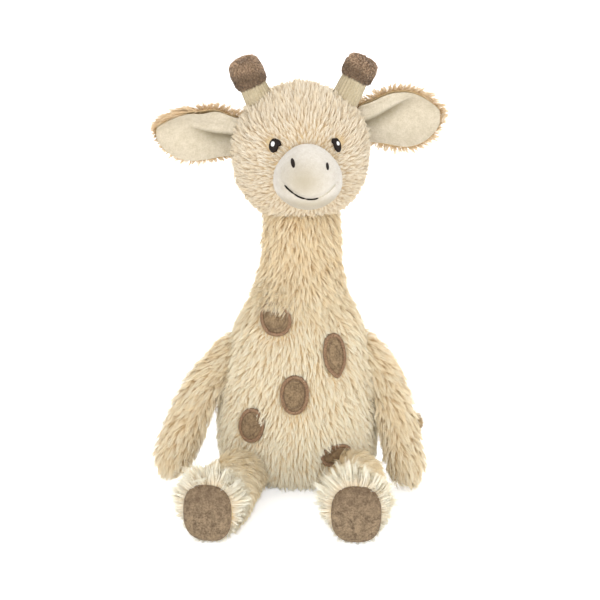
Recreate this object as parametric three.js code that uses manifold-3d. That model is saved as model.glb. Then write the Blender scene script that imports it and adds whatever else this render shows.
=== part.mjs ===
// A sitting plush giraffe: a pear-shaped torso, a long neck, a round head with a velour muzzle, cupped ears,
// horns with brown tips, hanging arms, legs that lie forward with brown soles, brown patches and a tail.
// Millimetres, +Z up, the giraffe faces -Y and its left side is +X. The floor is at Z = 0.
import * as THREE from 'three';
import { mergeVertices } from 'three/addons/utils/BufferGeometryUtils.js';
import Module from 'manifold-3d';

const wasm = await Module();
wasm.setup();

// Cloth and the room between pieces. The pile counts as part of the plush cover.
const plushThickness = 5;
const velourThickness = 1.4;
const patchThickness = 1.2;
const patchRimThickness = 1.9;
const patchRimWidth = 1.8;
const threadThickness = 0.8;
const restGap = 0.3;
const turnGap = 0.7;
const seatCutDepth = 0.5;

// Torso, from the floor to the rim of the neck opening.
const torsoHeight = 127.5;
const torsoHalfWidth = 55;
const torsoHalfDepth = 48;
const torsoSideLean = -2;

// Neck: a round end that turns in the torso's hollow, a column, and a dome inside the head.
const neckPivotRise = 4.5;
const neckEndRadius = 30;
const neckLength = 51.6;
const neckDomeHeight = 10.4;
const neckMouthRadius = 14;

// Head, with its front turned a little to the giraffe's left.
const headHeight = 86.6;
const headHalfWidth = 45.5;
const headHalfDepth = 42;
const headForward = 6;
const headTurnDegrees = 5;

// Muzzle, eyes, nostrils and mouth. Every rise on the head is measured from its chin.
const muzzleHalfWidth = 21.5;
const muzzleHalfDepth = 25;
const muzzleHalfHeight = 20.5;
const muzzleForward = 55;
const muzzleRise = 33.9;
const eyeSideOffset = 18.8;
const eyeRise = 50.7;
const eyeHalfWidth = 3.7;
const eyeHalfHeight = 4.5;
const glintRadius = 1.1;
const glintSideOffset = 1.2;
const glintRise = 1.7;
const nostrilSideOffset = 10.4;
const nostrilRise = 44.9;
const nostrilHalfWidth = 1.5;
const nostrilHalfHeight = 3.1;
const mouthHalfWidth = 15.5;
const mouthCornerRise = 31.9;
const mouthSag = 8;
const mouthThreadRadius = 0.6;

// Horns: velour stems with round brown tips, each leaning outward.
const hornStemRadius = 8.8;
const hornTipRadius = 10.9;
const rightHornTipHeight = 19.5;
const leftHornTipHeight = 17;
const rightHornStemLength = 19;
const leftHornStemLength = 23.2;
const hornNeckRadius = 8.2;
const rightHornBaseOffset = 22.8;
const leftHornBaseOffset = 24.2;
const hornBaseRise = 66.4;
const hornForward = 6;
const rightHornLeanDegrees = 24;
const leftHornLeanDegrees = 26.5;

// Ears: leaf-shaped cups that turn on a flat round root in the side of the head.
const earLength = 58;
const earHalfWidth = 20.5;
const earCupDepth = 11;
const earBackThickness = 3.6;
const earLiningThickness = 1.3;
const earRootRadius = 16;
const earRootHalfDepth = 5;
const rightEarRootOffset = 38;
const leftEarRootOffset = 38;
const rightEarRootBack = 0;
const leftEarRootBack = 8;
const rightEarRootRise = 52;
const leftEarRootRise = 58.4;
const rightEarRiseDegrees = 3.5;
const leftEarRiseDegrees = 3;
const rightEarTwistDegrees = 24;
const leftEarTwistDegrees = 4;

// Arms, from the shoulder to the tip of the hand.
const armRadius = 13.2;
const armLength = 97;
const shoulderHeight = 88;
const shoulderOffset = 43;
const armMouthRadius = 6;

// Legs, lying forward on the floor, and the soles sewn into their ends.
const legHalfWidth = 20.3;
const legHalfHeight = 21.4;
const hipRadius = 16;
const legReach = 79;
const hipForward = 38;
const rightHipOffset = 38;
const leftHipOffset = 37;
const rightLegSplayDegrees = 13.4;
const leftLegSplayDegrees = -2.4;
const legLiftDegrees = 20;
const soleHalfWidth = 14.7;
const soleHalfHeight = 17.6;
const soleDrop = 1.6;
const soleThickness = 2;

// Tail: a cloth cord that leaves the back just above the floor and ends in a brown tuft.
const tailRootHeight = 26;
const tailRootBack = 47;
const tailRootRadius = 6;
const tailCordRadius = 3.4;
const tailSideReach = 67;
const tuftHalfLength = 13;
const tuftRadius = 9;
const tuftFloorGap = 1;

// The bag of plastic beads that weights the seat.
const bagHalfWidth = 35;
const bagHalfDepth = 25;
const bagBack = 9;
const bagHalfHeight = 11;
const bagCentreHeight = 13.5;

// How finely the round forms are divided.
const bodySegments = 18;
const limbSegments = 12;
const smallSegments = 10;
const ballSegments = 24;
const ballRings = 12;
const muzzleSegments = 14;
const muzzleRings = 9;
const earRootSegments = 14;
const roomSegments = 12;
const cordSegments = 6;
const liftSteps = 3;
const swingRoomRings = 6;

// Shares of the torso's height, half width and half depth at each ring, from the floor up.
const torsoShares = [
  [0.000, 0.46, 0.46], [0.009, 0.62, 0.62], [0.028, 0.80, 0.80], [0.070, 0.92, 0.93], [0.135, 0.985, 0.99],
  [0.235, 1.00, 1.00], [0.400, 0.99, 0.975], [0.560, 0.945, 0.925], [0.700, 0.885, 0.87], [0.810, 0.81, 0.81],
  [0.890, 0.725, 0.755], [1.000, 0.605, 0.685],
];
// The neck's radii as shares of its end radius. Rows below the pivot lie at shares of the end radius,
// and rows above it at shares of the way to the top.
const neckShares = [
  [-0.969, 0.26], [-0.885, 0.48], [-0.682, 0.73], [-0.376, 0.927], [-0.062, 0.995], [0.090, 0.970],
  [0.180, 0.905], [0.300, 0.865], [0.520, 0.845], [0.740, 0.815], [0.835, 0.760], [0.905, 0.660],
  [0.965, 0.480], [1.000, 0.240],
];
// Shares of the head's height, half width and half depth, from the chin up.
const headShares = [
  [0.000, 0.50, 0.46], [0.028, 0.66, 0.60], [0.100, 0.78, 0.745], [0.190, 0.885, 0.86], [0.290, 0.96, 0.945],
  [0.410, 0.995, 0.99], [0.540, 0.997, 0.998], [0.660, 0.95, 0.955], [0.770, 0.855, 0.865],
  [0.860, 0.705, 0.72], [0.935, 0.495, 0.51], [0.982, 0.265, 0.27], [1.000, 0.090, 0.09],
];
// Shares of an arm's length and radius.
const armShares = [
  [0.000, 0.28], [0.016, 0.58], [0.050, 0.88], [0.105, 1.00], [0.250, 0.985], [0.400, 0.965], [0.550, 0.965],
  [0.700, 0.985], [0.860, 1.010], [0.940, 0.90], [0.980, 0.63], [1.000, 0.26],
];
// Shares of a leg's length, half width and half height; the last rings are the flat end of the foot.
const legShares = [
  [0.000, 0.21, 0.20], [0.018, 0.40, 0.375], [0.055, 0.61, 0.575], [0.105, 0.735, 0.695],
  [0.168, 0.79, 0.748],
  [0.400, 0.85, 0.83], [0.650, 0.93, 0.92], [0.880, 1.00, 1.00], [0.960, 0.97, 0.985], [1.000, 0.81, 0.885],
];
// The same for the room that a leg's round end and thigh pass through.
const legRoomShares = [[0.000, 0.33, 0.31], [0.065, 0.69, 0.65], [0.168, 0.82, 0.775], [0.480, 0.90, 0.88]];
// Shares of an ear's length, half width and cup depth.
const earShares = [
  [0.00, 0.56, 0.40], [0.14, 0.60, 0.46], [0.21, 0.61, 0.55], [0.28, 0.70, 0.72], [0.42, 0.93, 0.96],
  [0.56, 1.00, 0.97],
  [0.70, 0.93, 0.86], [0.82, 0.76, 0.66], [0.91, 0.55, 0.44], [0.97, 0.33, 0.25], [1.00, 0.17, 0.14],
];
// Shares of the ear's thickness across its width, from one edge to the other.
const earAcrossShares = [-1, -0.7, -0.25, 0.25, 0.7, 1];
const earEdgeShare = 0.45;
const liningWidthShare = 0.88;
const liningStartShare = 0.2;
const earTwistStartShare = 0.2;
const earTwistEndShare = 0.5;
// Shares of the radius and half depth of the ear's round root, from its front to its back.
const earRootShares = [
  [0, -1], [0.85, -1], [0.96, -0.8], [1, -0.4], [1, 0.4], [0.96, 0.8], [0.85, 1], [0, 1],
];

// The course of each arm from the shoulder as shares of its length: outward, forward and up.
const rightArmShares = [
  [0, 0, 0], [0.134, -0.052, -0.124], [0.227, -0.113, -0.227], [0.289, -0.155, -0.351],
  [0.34, -0.196, -0.474], [0.392, -0.237, -0.598], [0.443, -0.278, -0.732], [0.466, -0.303, -0.795],
];
const leftArmShares = [
  [0, 0, 0], [0.113, -0.052, -0.124], [0.175, -0.103, -0.227], [0.216, -0.144, -0.351],
  [0.247, -0.186, -0.474], [0.273, -0.227, -0.598], [0.304, -0.268, -0.732], [0.33, -0.299, -0.866],
];
// The course of the tail from its root as shares of its sideways reach: sideways, back and up.
const tailShares = [
  [0, 0, 0], [0.03, 0.119, -0.06], [0.134, 0.254, -0.179], [0.328, 0.358, -0.269], [0.567, 0.418, -0.313],
  [0.806, 0.433, -0.321], [1, 0.433, -0.284],
];

// The patches: centre across and up, half width and half height as shares of the torso's half width and
// height, the tilt in degrees, and the outline's radii as shares of the half sizes.
const frontPatchShares = [
  [-0.264, 0.922, 0.171, 0.076, 0, [1, 1, 1.02, 1, 1.03, 1.0, 0.98, 1.0, 1.04, 1.0, 1.02, 1]],
  [0.384, 0.74, 0.12, 0.114, 8, [1, 1.02, 1.05, 1.0, 1.05, 1, 0.98, 0.92, 0.85, 1.0, 0.88, 0.94]],
  [-0.064, 0.557, 0.157, 0.1, -4, [1, 1.05, 1.03, 1, 1.02, 1.04, 1, 0.98, 1.0, 1.0, 1.04, 1.04]],
  [-0.547, 0.379, 0.134, 0.09, -16, [1, 1.02, 0.98, 1, 1.06, 1.04, 1.0, 1.02, 1.0, 1, 1.04, 1.06]],
  [0.406, 0.228, 0.17, 0.0535, 6, [1, 1.04, 1.04, 1, 1.02, 1.02, 1, 1, 1.02, 1, 1.02, 1.02]],
];
const backPatchShares = [
  [-0.309, 0.753, 0.173, 0.102, 6, [1, 1.03, 1.02, 1, 1.03, 1.0, 1, 1.02, 1.0, 1, 1.04, 1.02]],
  [0.273, 0.518, 0.2, 0.098, -8, [1, 1.02, 1.04, 1, 1.0, 1.04, 1, 0.97, 1.02, 1, 1.04, 1.0]],
  [-0.4, 0.345, 0.182, 0.082, 0, [1, 1.04, 1.0, 1, 1.04, 1.02, 1, 1.02, 1.03, 1, 1.0, 1.02]],
];

const cream = new THREE.MeshStandardMaterial({ color: 0xe2d0b2, roughness: 0.95, metalness: 0 });
const paleVelour = new THREE.MeshStandardMaterial({ color: 0xdcd1bd, roughness: 0.9, metalness: 0 });
const hornVelour = new THREE.MeshStandardMaterial({ color: 0xcfbf9e, roughness: 0.9, metalness: 0 });
const brownVelour = new THREE.MeshStandardMaterial({ color: 0x8f785b, roughness: 0.9, metalness: 0 });
const soleVelour = new THREE.MeshStandardMaterial({ color: 0x977e63, roughness: 0.9, metalness: 0 });
const darkThread = new THREE.MeshStandardMaterial({ color: 0x2b1d18, roughness: 0.6, metalness: 0 });
const whiteThread = new THREE.MeshStandardMaterial({ color: 0xf2efe9, roughness: 0.6, metalness: 0 });
const brownPile = new THREE.MeshStandardMaterial({ color: 0x7d6a55, roughness: 0.95, metalness: 0 });
const fibre = new THREE.MeshStandardMaterial({ color: 0xf3f2ee, roughness: 1, metalness: 0 });
const calico = new THREE.MeshStandardMaterial({ color: 0xe6ddc8, roughness: 0.9, metalness: 0 });

// Heights above the floor that follow from the sizes.
const neckPivotHeight = torsoHeight + neckPivotRise;
const headBaseHeight = neckPivotHeight + neckLength;
const neckTopHeight = headBaseHeight + neckDomeHeight;
const muzzleCentreHeight = headBaseHeight + muzzleRise;
const eyeCentreHeight = headBaseHeight + eyeRise;
const nostrilCentreHeight = headBaseHeight + nostrilRise;
const mouthCornerHeight = headBaseHeight + mouthCornerRise;
const hornBaseHeight = headBaseHeight + hornBaseRise;

const degrees = Math.PI / 180;
const xAxis = new THREE.Vector3(1, 0, 0);
const yAxis = new THREE.Vector3(0, 1, 0);
const zAxis = new THREE.Vector3(0, 0, 1);

// A closed solid from a geometry.
function solidOf(geometry) {
  geometry.deleteAttribute('normal');
  geometry.deleteAttribute('uv');
  const welded = mergeVertices(geometry);
  const mesh = new wasm.Mesh({
    numProp: 3,
    vertProperties: Float32Array.from(welded.attributes.position.array),
    triVerts: Uint32Array.from(welded.index.array),
  });
  return new wasm.Manifold(mesh);
}

// A named mesh from a solid.
function pieceOf(name, solid, material) {
  const mesh = solid.getMesh();
  const geometry = new THREE.BufferGeometry();
  const points = Float32Array.from(mesh.vertProperties);
  geometry.setAttribute('position', new THREE.Float32BufferAttribute(points, 3));
  geometry.setIndex(Array.from(mesh.triVerts));
  geometry.computeVertexNormals();
  const piece = new THREE.Mesh(geometry, material);
  piece.name = name;
  return piece;
}

// A geometry turned about an axis through a point.
function turned(geometry, axis, angle, pivot) {
  const matrix = new THREE.Matrix4().makeTranslation(pivot.x, pivot.y, pivot.z);
  matrix.multiply(new THREE.Matrix4().makeRotationAxis(axis, angle));
  matrix.multiply(new THREE.Matrix4().makeTranslation(-pivot.x, -pivot.y, -pivot.z));
  return geometry.clone().applyMatrix4(matrix);
}

// The surface through a row of rings with the same number of points, closed at both ends.
function throughRings(rings) {
  const count = rings[0].length;
  const points = rings.flat();
  const faces = [];
  for (let r = 0; r + 1 < rings.length; r += 1) {
    for (let i = 0; i < count; i += 1) {
      const next = (i + 1) % count;
      const a = r * count + i;
      const b = r * count + next;
      faces.push(a, b, b + count, a, b + count, a + count);
    }
  }
  const ends = [[rings[0], 0, true], [rings[rings.length - 1], (rings.length - 1) * count, false]];
  for (const [ring, first, atStart] of ends) {
    const middle = new THREE.Vector3();
    ring.forEach((point) => middle.add(point));
    points.push(middle.divideScalar(count));
    for (let i = 0; i < count; i += 1) {
      const a = first + i;
      const b = first + ((i + 1) % count);
      faces.push(points.length - 1, ...(atStart ? [b, a] : [a, b]));
    }
  }
  const geometry = new THREE.BufferGeometry();
  geometry.setAttribute('position', new THREE.Float32BufferAttribute(points.flatMap((p) => p.toArray()), 3));
  geometry.setIndex(faces);
  return geometry;
}

function ringAround(centre, sideAxis, upAxis, halfSide, halfUp, segments) {
  const ring = [];
  for (let i = 0; i < segments; i += 1) {
    const angle = (2 * Math.PI * i) / segments;
    const point = centre.clone().addScaledVector(sideAxis, halfSide * Math.cos(angle));
    ring.push(point.addScaledVector(upAxis, halfUp * Math.sin(angle)));
  }
  return ring;
}

// An upright form: rings from the base up, drawn in by the inset on every side.
function uprightForm(base, height, halfWidth, halfDepth, centre, shares, segments, inset) {
  return throughRings(shares.map(([up, wide, deep]) => ringAround(
    new THREE.Vector3(centre.x, centre.y, base + inset + up * (height - 2 * inset)),
    xAxis,
    yAxis,
    Math.max(wide * halfWidth - inset, wide * inset),
    Math.max(deep * halfDepth - inset, deep * inset),
    segments,
  )));
}

// A form along a path, drawn in by the inset on every side and at both ends.
function pathForm(path, halfSide, halfUp, shares, inset) {
  const length = path.getLength();
  return throughRings(shares.map(([along, side, up]) => {
    const share = (inset + along * (length - 2 * inset)) / length;
    const within = THREE.MathUtils.clamp(share, 0, 1);
    const tangent = path.getTangentAt(within);
    const point = path.getPointAt(within).addScaledVector(tangent, (share - within) * length);
    const sideAxis = new THREE.Vector3().crossVectors(tangent, zAxis);
    if (Math.abs(tangent.z) > Math.abs(tangent.y)) sideAxis.crossVectors(tangent, yAxis).negate();
    sideAxis.normalize();
    const upAxis = new THREE.Vector3().crossVectors(tangent, sideAxis).normalize();
    const halfRise = (up ?? side) * halfUp;
    return ringAround(point, sideAxis, upAxis, Math.max(side * halfSide - inset, side * inset),
      Math.max(halfRise - inset, (up ?? side) * inset), limbSegments);
  }));
}

function ballForm(centre, halfWidth, halfDepth, halfHeight, segments, rings) {
  const ball = new THREE.SphereGeometry(1, segments, rings);
  ball.rotateX(Math.PI / 2);
  ball.scale(halfWidth, halfDepth, halfHeight);
  return ball.translate(centre.x, centre.y, centre.z);
}

// A round rod between two points.
function rodForm(from, to, radius, segments) {
  const rod = new THREE.CylinderGeometry(radius, radius, from.distanceTo(to), segments);
  const direction = to.clone().sub(from).normalize();
  rod.applyQuaternion(new THREE.Quaternion().setFromUnitVectors(yAxis, direction));
  const middle = from.clone().add(to).divideScalar(2);
  return rod.translate(middle.x, middle.y, middle.z);
}

// What a form passes through as it is lifted about X, from rest up to an angle.
function liftedSolid(geometry, angle, pivot) {
  let swept = solidOf(geometry.clone());
  for (let step = 1; step < liftSteps; step += 1) {
    swept = swept.add(solidOf(turned(geometry, xAxis, (angle * step) / (liftSteps - 1), pivot)));
  }
  return swept;
}

// A turned body about X through a pivot, which takes in the inner side of a form whichever way it swings.
function swingRoom(geometry, pivot, side, reach) {
  const points = geometry.attributes.position;
  const spots = Array.from({ length: points.count }, (_, i) => [
    Math.hypot(points.getY(i) - pivot.y, points.getZ(i) - pivot.z),
    side * (points.getX(i) - pivot.x),
  ]);
  const step = reach / swingRoomRings;
  const profile = [];
  let innermost = 0;
  for (let ring = 0; ring <= swingRoomRings; ring += 1) {
    const near = spots.filter(([radius]) => Math.abs(radius - ring * step) <= step).map(([, out]) => out);
    innermost = near.length ? Math.min(...near) : innermost;
    profile.push(new THREE.Vector2((ring * step) / Math.cos(Math.PI / roomSegments), innermost - turnGap));
  }
  profile.push(new THREE.Vector2(profile[swingRoomRings].x, reach), new THREE.Vector2(0, reach));
  const room = new THREE.LatheGeometry(profile, roomSegments).rotateZ(-side * Math.PI / 2);
  return solidOf(room.translate(pivot.x, pivot.y, pivot.z));
}

// A cover with an opening, and the stuffing that fills it and comes up to the opening.
function stuffed(outer, inner, innerFill, opening, openingFill) {
  const whole = solidOf(outer(0));
  const cover = whole.subtract(solidOf(inner)).subtract(solidOf(opening));
  const filling = solidOf(innerFill).add(solidOf(openingFill).intersect(whole));
  return { cover, filling };
}

// The smooth outline of a patch, drawn in or out by the given amount.
function patchOutline(halfWidth, halfHeight, tilt, shares, grown) {
  const corners = shares.map((share, i) => {
    const angle = (2 * Math.PI * i) / shares.length;
    const across = (halfWidth * share + grown) * Math.cos(angle);
    const up = (halfHeight * share + grown) * Math.sin(angle);
    return new THREE.Vector3(
      across * Math.cos(tilt) - up * Math.sin(tilt),
      across * Math.sin(tilt) + up * Math.cos(tilt),
      0,
    );
  });
  const curve = new THREE.CatmullRomCurve3(corners, true);
  return new THREE.Shape(curve.getPoints(shares.length).slice(1).map((p) => new THREE.Vector2(p.x, p.y)));
}

// A column along Y with the given outline, standing through a surface.
function columnThrough(outline, across, height, fromDepth, toDepth) {
  const column = new THREE.ExtrudeGeometry(outline, { depth: toDepth - fromDepth, bevelEnabled: false });
  column.rotateX(Math.PI / 2);
  return column.translate(across, toDepth, height);
}

// A thin layer that follows a form: the part of the space just outside it that a column takes in.
function layerOn(form, column, lift, thickness) {
  return solidOf(form(-lift - thickness)).intersect(solidOf(column)).subtract(solidOf(form(-lift)));
}

const giraffe = new THREE.Group();
giraffe.name = 'plush_giraffe';
const bodyReach = 2 * torsoHalfDepth;

// Forms shared by several pieces.
const torsoCentre = new THREE.Vector2(torsoSideLean, 0);
const torsoForm = (inset) => uprightForm(-seatCutDepth, torsoHeight + seatCutDepth, torsoHalfWidth,
  torsoHalfDepth, torsoCentre, torsoShares, bodySegments, inset);
const headCentre = new THREE.Vector2(0, -headForward);
const headForm = (inset) => uprightForm(headBaseHeight, headHeight, headHalfWidth, headHalfDepth, headCentre,
  headShares, bodySegments, inset);
const muzzleCentre = new THREE.Vector3(0, -muzzleForward, muzzleCentreHeight);
const muzzleForm = (inset) => ballForm(muzzleCentre, muzzleHalfWidth - inset, muzzleHalfDepth - inset,
  muzzleHalfHeight - inset, muzzleSegments, muzzleRings);
const neckPivot = new THREE.Vector3(0, 0, neckPivotHeight);
const neckReach = neckTopHeight - neckPivotHeight;
const neckForm = (inset) => throughRings(neckShares.map(([up, out]) => {
  const rise = up < 0 ? up * neckEndRadius + inset * (up / neckShares[0][0]) : up * (neckReach - inset);
  const radius = Math.max(out * neckEndRadius - inset, out * inset);
  const centre = new THREE.Vector3(0, 0, neckPivotHeight + rise);
  return ringAround(centre, xAxis, yAxis, radius, radius, bodySegments);
}));

// Limb paths: each starts behind its pivot by the radius of its round end.
function armPath(side, shares) {
  const shoulder = new THREE.Vector3(side * shoulderOffset, 0, shoulderHeight);
  const points = shares.map(([out, forward, up]) => new THREE.Vector3(side * out, forward, up)
    .multiplyScalar(armLength).add(shoulder));
  const back = shoulder.clone().sub(points[1]).setLength(armRadius).add(shoulder);
  return new THREE.CatmullRomCurve3([back, ...points]);
}
function legPath(side, hipOffset, splayDegrees) {
  const hip = new THREE.Vector3(side * hipOffset, -hipForward, hipRadius - seatCutDepth);
  const end = hip.clone().add(new THREE.Vector3(
    side * legReach * Math.sin(splayDegrees * degrees),
    -legReach * Math.cos(splayDegrees * degrees),
    legHalfHeight - hipRadius,
  ));
  const back = hip.clone().addScaledVector(end.clone().sub(hip).normalize(), -hipRadius);
  return new THREE.LineCurve3(back, end);
}
const limbs = [
  { side: -1, word: 'right', arm: armPath(-1, rightArmShares), hip: rightHipOffset,
    leg: legPath(-1, rightHipOffset, rightLegSplayDegrees) },
  { side: 1, word: 'left', arm: armPath(1, leftArmShares), hip: leftHipOffset,
    leg: legPath(1, leftHipOffset, leftLegSplayDegrees) },
];
const armForm = (limb, inset) => pathForm(limb.arm, armRadius, armRadius, armShares, inset);
const legForm = (limb, inset) => pathForm(limb.leg, legHalfWidth, legHalfHeight, legShares, inset);
const belowFloor = new THREE.BoxGeometry(8 * torsoHalfWidth, 8 * torsoHalfWidth, torsoHalfWidth)
  .translate(0, 0, -torsoHalfWidth / 2);
const floorSolid = solidOf(belowFloor);

// What the arms, legs and tail pass through as they swing.
const tailPivot = new THREE.Vector3(0, tailRootBack, tailRootHeight);
const tailRoot = (grown) => ballForm(tailPivot, tailRootRadius + grown, tailRootRadius + grown,
  tailRootRadius + grown, smallSegments, smallSegments);
const hollowRadius = neckEndRadius + turnGap;
const neckHollow = ballForm(neckPivot, hollowRadius, hollowRadius, hollowRadius, ballSegments, ballRings);
const limbRoom = limbs.flatMap((limb) => {
  const shoulder = new THREE.Vector3(limb.side * shoulderOffset, 0, shoulderHeight);
  const hip = new THREE.Vector3(limb.side * limb.hip, -hipForward, hipRadius - seatCutDepth);
  return [
    swingRoom(armForm(limb, -turnGap), shoulder, limb.side, shoulderOffset),
    liftedSolid(pathForm(limb.leg, legHalfWidth, legHalfHeight, legRoomShares, -turnGap),
      -legLiftDegrees * degrees, hip),
  ];
});
const torsoRoom = limbRoom.reduce((sum, room) => sum.add(room), solidOf(neckHollow))
  .add(solidOf(tailRoot(turnGap)));

// Torso: a plush cover, the stuffing inside it and the bag of beads in the seat.
const bagCentre = new THREE.Vector3(torsoSideLean, bagBack, bagCentreHeight);
const bagForm = (grown) => ballForm(bagCentre, bagHalfWidth + grown, bagHalfDepth + grown,
  bagHalfHeight + grown, limbSegments, cordSegments);
const torsoCavity = solidOf(torsoForm(plushThickness + restGap));
giraffe.add(pieceOf('torso_cover', solidOf(torsoForm(0)).subtract(solidOf(torsoForm(plushThickness)))
  .subtract(torsoRoom).subtract(floorSolid), cream));
giraffe.add(pieceOf('torso_filling', torsoCavity.subtract(torsoRoom).subtract(solidOf(bagForm(restGap))),
  fibre));
giraffe.add(pieceOf('bean_bag', solidOf(bagForm(0)).intersect(torsoCavity), calico));

// Patches of brown velour sewn flat on the torso, each with a raised stitched rim. The uppermost ends at the
// neck.
const belowRim = solidOf(new THREE.BoxGeometry(4 * torsoHalfWidth, 4 * torsoHalfDepth, torsoHeight)
  .translate(0, 0, torsoHeight / 2));
function patchOn([across, up, wide, high, tiltDegrees, outlineShares], facing) {
  const column = (drawnIn) => {
    const outline = patchOutline(wide * torsoHalfWidth, high * torsoHeight, tiltDegrees * degrees,
      outlineShares, -drawnIn);
    const near = facing < 0 ? -bodyReach : 0;
    return columnThrough(outline, across * torsoHalfWidth, up * torsoHeight, near, near + bodyReach);
  };
  const low = layerOn(torsoForm, column(0), restGap, patchThickness);
  const rim = layerOn(torsoForm, column(0), restGap, patchRimThickness)
    .subtract(solidOf(column(patchRimWidth)));
  return low.add(rim).intersect(belowRim).subtract(torsoRoom);
}
frontPatchShares.forEach((patch, i) => {
  giraffe.add(pieceOf(`front_patch_${i + 1}`, patchOn(patch, -1), brownVelour));
});
backPatchShares.forEach((patch, i) => {
  giraffe.add(pieceOf(`back_patch_${i + 1}`, patchOn(patch, 1), brownVelour));
});

// Neck: a plush tube with round ends, stuffed; the lower end turns in the torso's hollow.
const neckMouth = (grown) => rodForm(neckPivot.clone().setZ(neckPivotHeight - 2 * neckEndRadius), neckPivot,
  neckMouthRadius + grown, smallSegments);
const neck = stuffed(neckForm, neckForm(plushThickness), neckForm(plushThickness + restGap), neckMouth(0),
  neckMouth(-restGap));
giraffe.add(pieceOf('neck_cover', neck.cover, cream));
giraffe.add(pieceOf('neck_filling', neck.filling, fibre));

// Everything on the head is made facing straight ahead and then turned with the face.
const faceTurn = headTurnDegrees * degrees;
const headOrigin = new THREE.Vector3(0, 0, headBaseHeight);
function addToHead(name, solid, material) {
  const piece = pieceOf(name, solid, material);
  piece.geometry = turned(piece.geometry, zAxis, faceTurn, headOrigin);
  giraffe.add(piece);
}

// Ears: the root is a flat round end about a front-to-back axis, and the leaf is a cup that opens forward.
function earLeaf(widthShare, backward, thickness, startShare, twist) {
  const rows = earShares.filter(([along]) => along >= startShare);
  return throughRings(rows.map(([along, wide, deep]) => {
    const half = wide * earHalfWidth * widthShare;
    const roll = twist * THREE.MathUtils.smoothstep(along, earTwistStartShare, earTwistEndShare);
    const surface = (share, shift) => new THREE.Vector3(
      along * earLength,
      deep * earCupDepth * (1 - (share * widthShare) ** 2) - deep * earCupDepth / 2 + shift,
      share * half,
    ).applyAxisAngle(xAxis, roll);
    const edge = (share) => thickness * (earEdgeShare + (1 - earEdgeShare) * (1 - share * share));
    const front = earAcrossShares.map((share) => surface(share, backward));
    const back = earAcrossShares.map((share) => surface(share, backward + edge(share)));
    return [...back, ...front.reverse()];
  }));
}
function earRoot(grown) {
  const profile = earRootShares.map(([out, along]) => new THREE.Vector2(
    out * (earRootRadius + grown), along * (earRootHalfDepth + grown)));
  return new THREE.LatheGeometry(profile, earRootSegments);
}
function placedEar(geometry, side, riseDegrees, pivot) {
  const placed = geometry.rotateY(-riseDegrees * degrees);
  if (side < 0) {
    placed.scale(-1, 1, 1);
    const index = placed.index.array;
    for (let i = 0; i < index.length; i += 3) [index[i], index[i + 1]] = [index[i + 1], index[i]];
  }
  return placed.translate(pivot.x, pivot.y, pivot.z);
}
const earSets = [
  [rightEarRootOffset, rightEarRootBack, rightEarRootRise, rightEarRiseDegrees, rightEarTwistDegrees],
  [leftEarRootOffset, leftEarRootBack, leftEarRootRise, leftEarRiseDegrees, leftEarTwistDegrees],
];
const ears = limbs.map(({ side, word }, i) => {
  const [rootOffset, rootBack, rootRise, rise, twistDegrees] = earSets[i];
  const pivot = new THREE.Vector3(side * rootOffset, rootBack, headBaseHeight + rootRise);
  const place = (geometry) => solidOf(placedEar(geometry, side, rise, pivot));
  const leaf = earLeaf(1, -earBackThickness / 2, earBackThickness, 0, twistDegrees * degrees);
  const liningShift = -earBackThickness / 2 - restGap - earLiningThickness;
  const lining = earLeaf(liningWidthShare, liningShift, earLiningThickness, liningStartShare,
    twistDegrees * degrees);
  return {
    word,
    back: place(leaf).add(place(earRoot(0))),
    lining: place(lining).subtract(place(earRoot(restGap))),
    room: place(earRoot(turnGap)),
  };
});

// Head: a plush cover and its stuffing, with a hollow below for the neck.
const headRoom = ears.reduce((sum, ear) => sum.add(ear.room), solidOf(neckForm(-turnGap)));
addToHead('head_cover', solidOf(headForm(0)).subtract(solidOf(headForm(plushThickness))).subtract(headRoom),
  cream);
addToHead('head_filling', solidOf(headForm(plushThickness + restGap)).subtract(headRoom), fibre);

// Muzzle: a stuffed velour dome that sits on the front of the head.
const headFace = solidOf(headForm(-restGap));
addToHead('muzzle_cover', solidOf(muzzleForm(0)).subtract(solidOf(muzzleForm(velourThickness)))
  .subtract(headFace), paleVelour);
addToHead('muzzle_filling', solidOf(muzzleForm(velourThickness + restGap)).subtract(headFace), fibre);

// Eyes, their glints and the nostrils: raised embroidery.
function oval(halfWidth, halfHeight) {
  return new THREE.Shape().absellipse(0, 0, halfWidth, halfHeight, 0, 2 * Math.PI);
}
function ovalColumn(halfWidth, halfHeight, across, height, behind) {
  const outline = new THREE.Shape(oval(halfWidth, halfHeight).getPoints(smallSegments / 2).slice(1));
  return columnThrough(outline, across, height, -behind - bodyReach, -behind);
}
for (const { side, word } of limbs) {
  const eyeAt = side * eyeSideOffset;
  const eyeColumn = ovalColumn(eyeHalfWidth, eyeHalfHeight, eyeAt, eyeCentreHeight, headForward);
  addToHead(`eye_${word}`, layerOn(headForm, eyeColumn, restGap, threadThickness)
    .subtract(solidOf(muzzleForm(-restGap))), darkThread);
  const glintColumn = ovalColumn(glintRadius, glintRadius, eyeAt - glintSideOffset,
    eyeCentreHeight + glintRise, headForward);
  addToHead(`eye_glint_${word}`, layerOn(headForm, glintColumn, 2 * restGap + threadThickness,
    threadThickness), whiteThread);
  addToHead(`nostril_${word}`, layerOn(muzzleForm, ovalColumn(nostrilHalfWidth, nostrilHalfHeight,
    side * nostrilSideOffset, nostrilCentreHeight, muzzleForward), restGap, threadThickness), darkThread);
}

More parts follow.
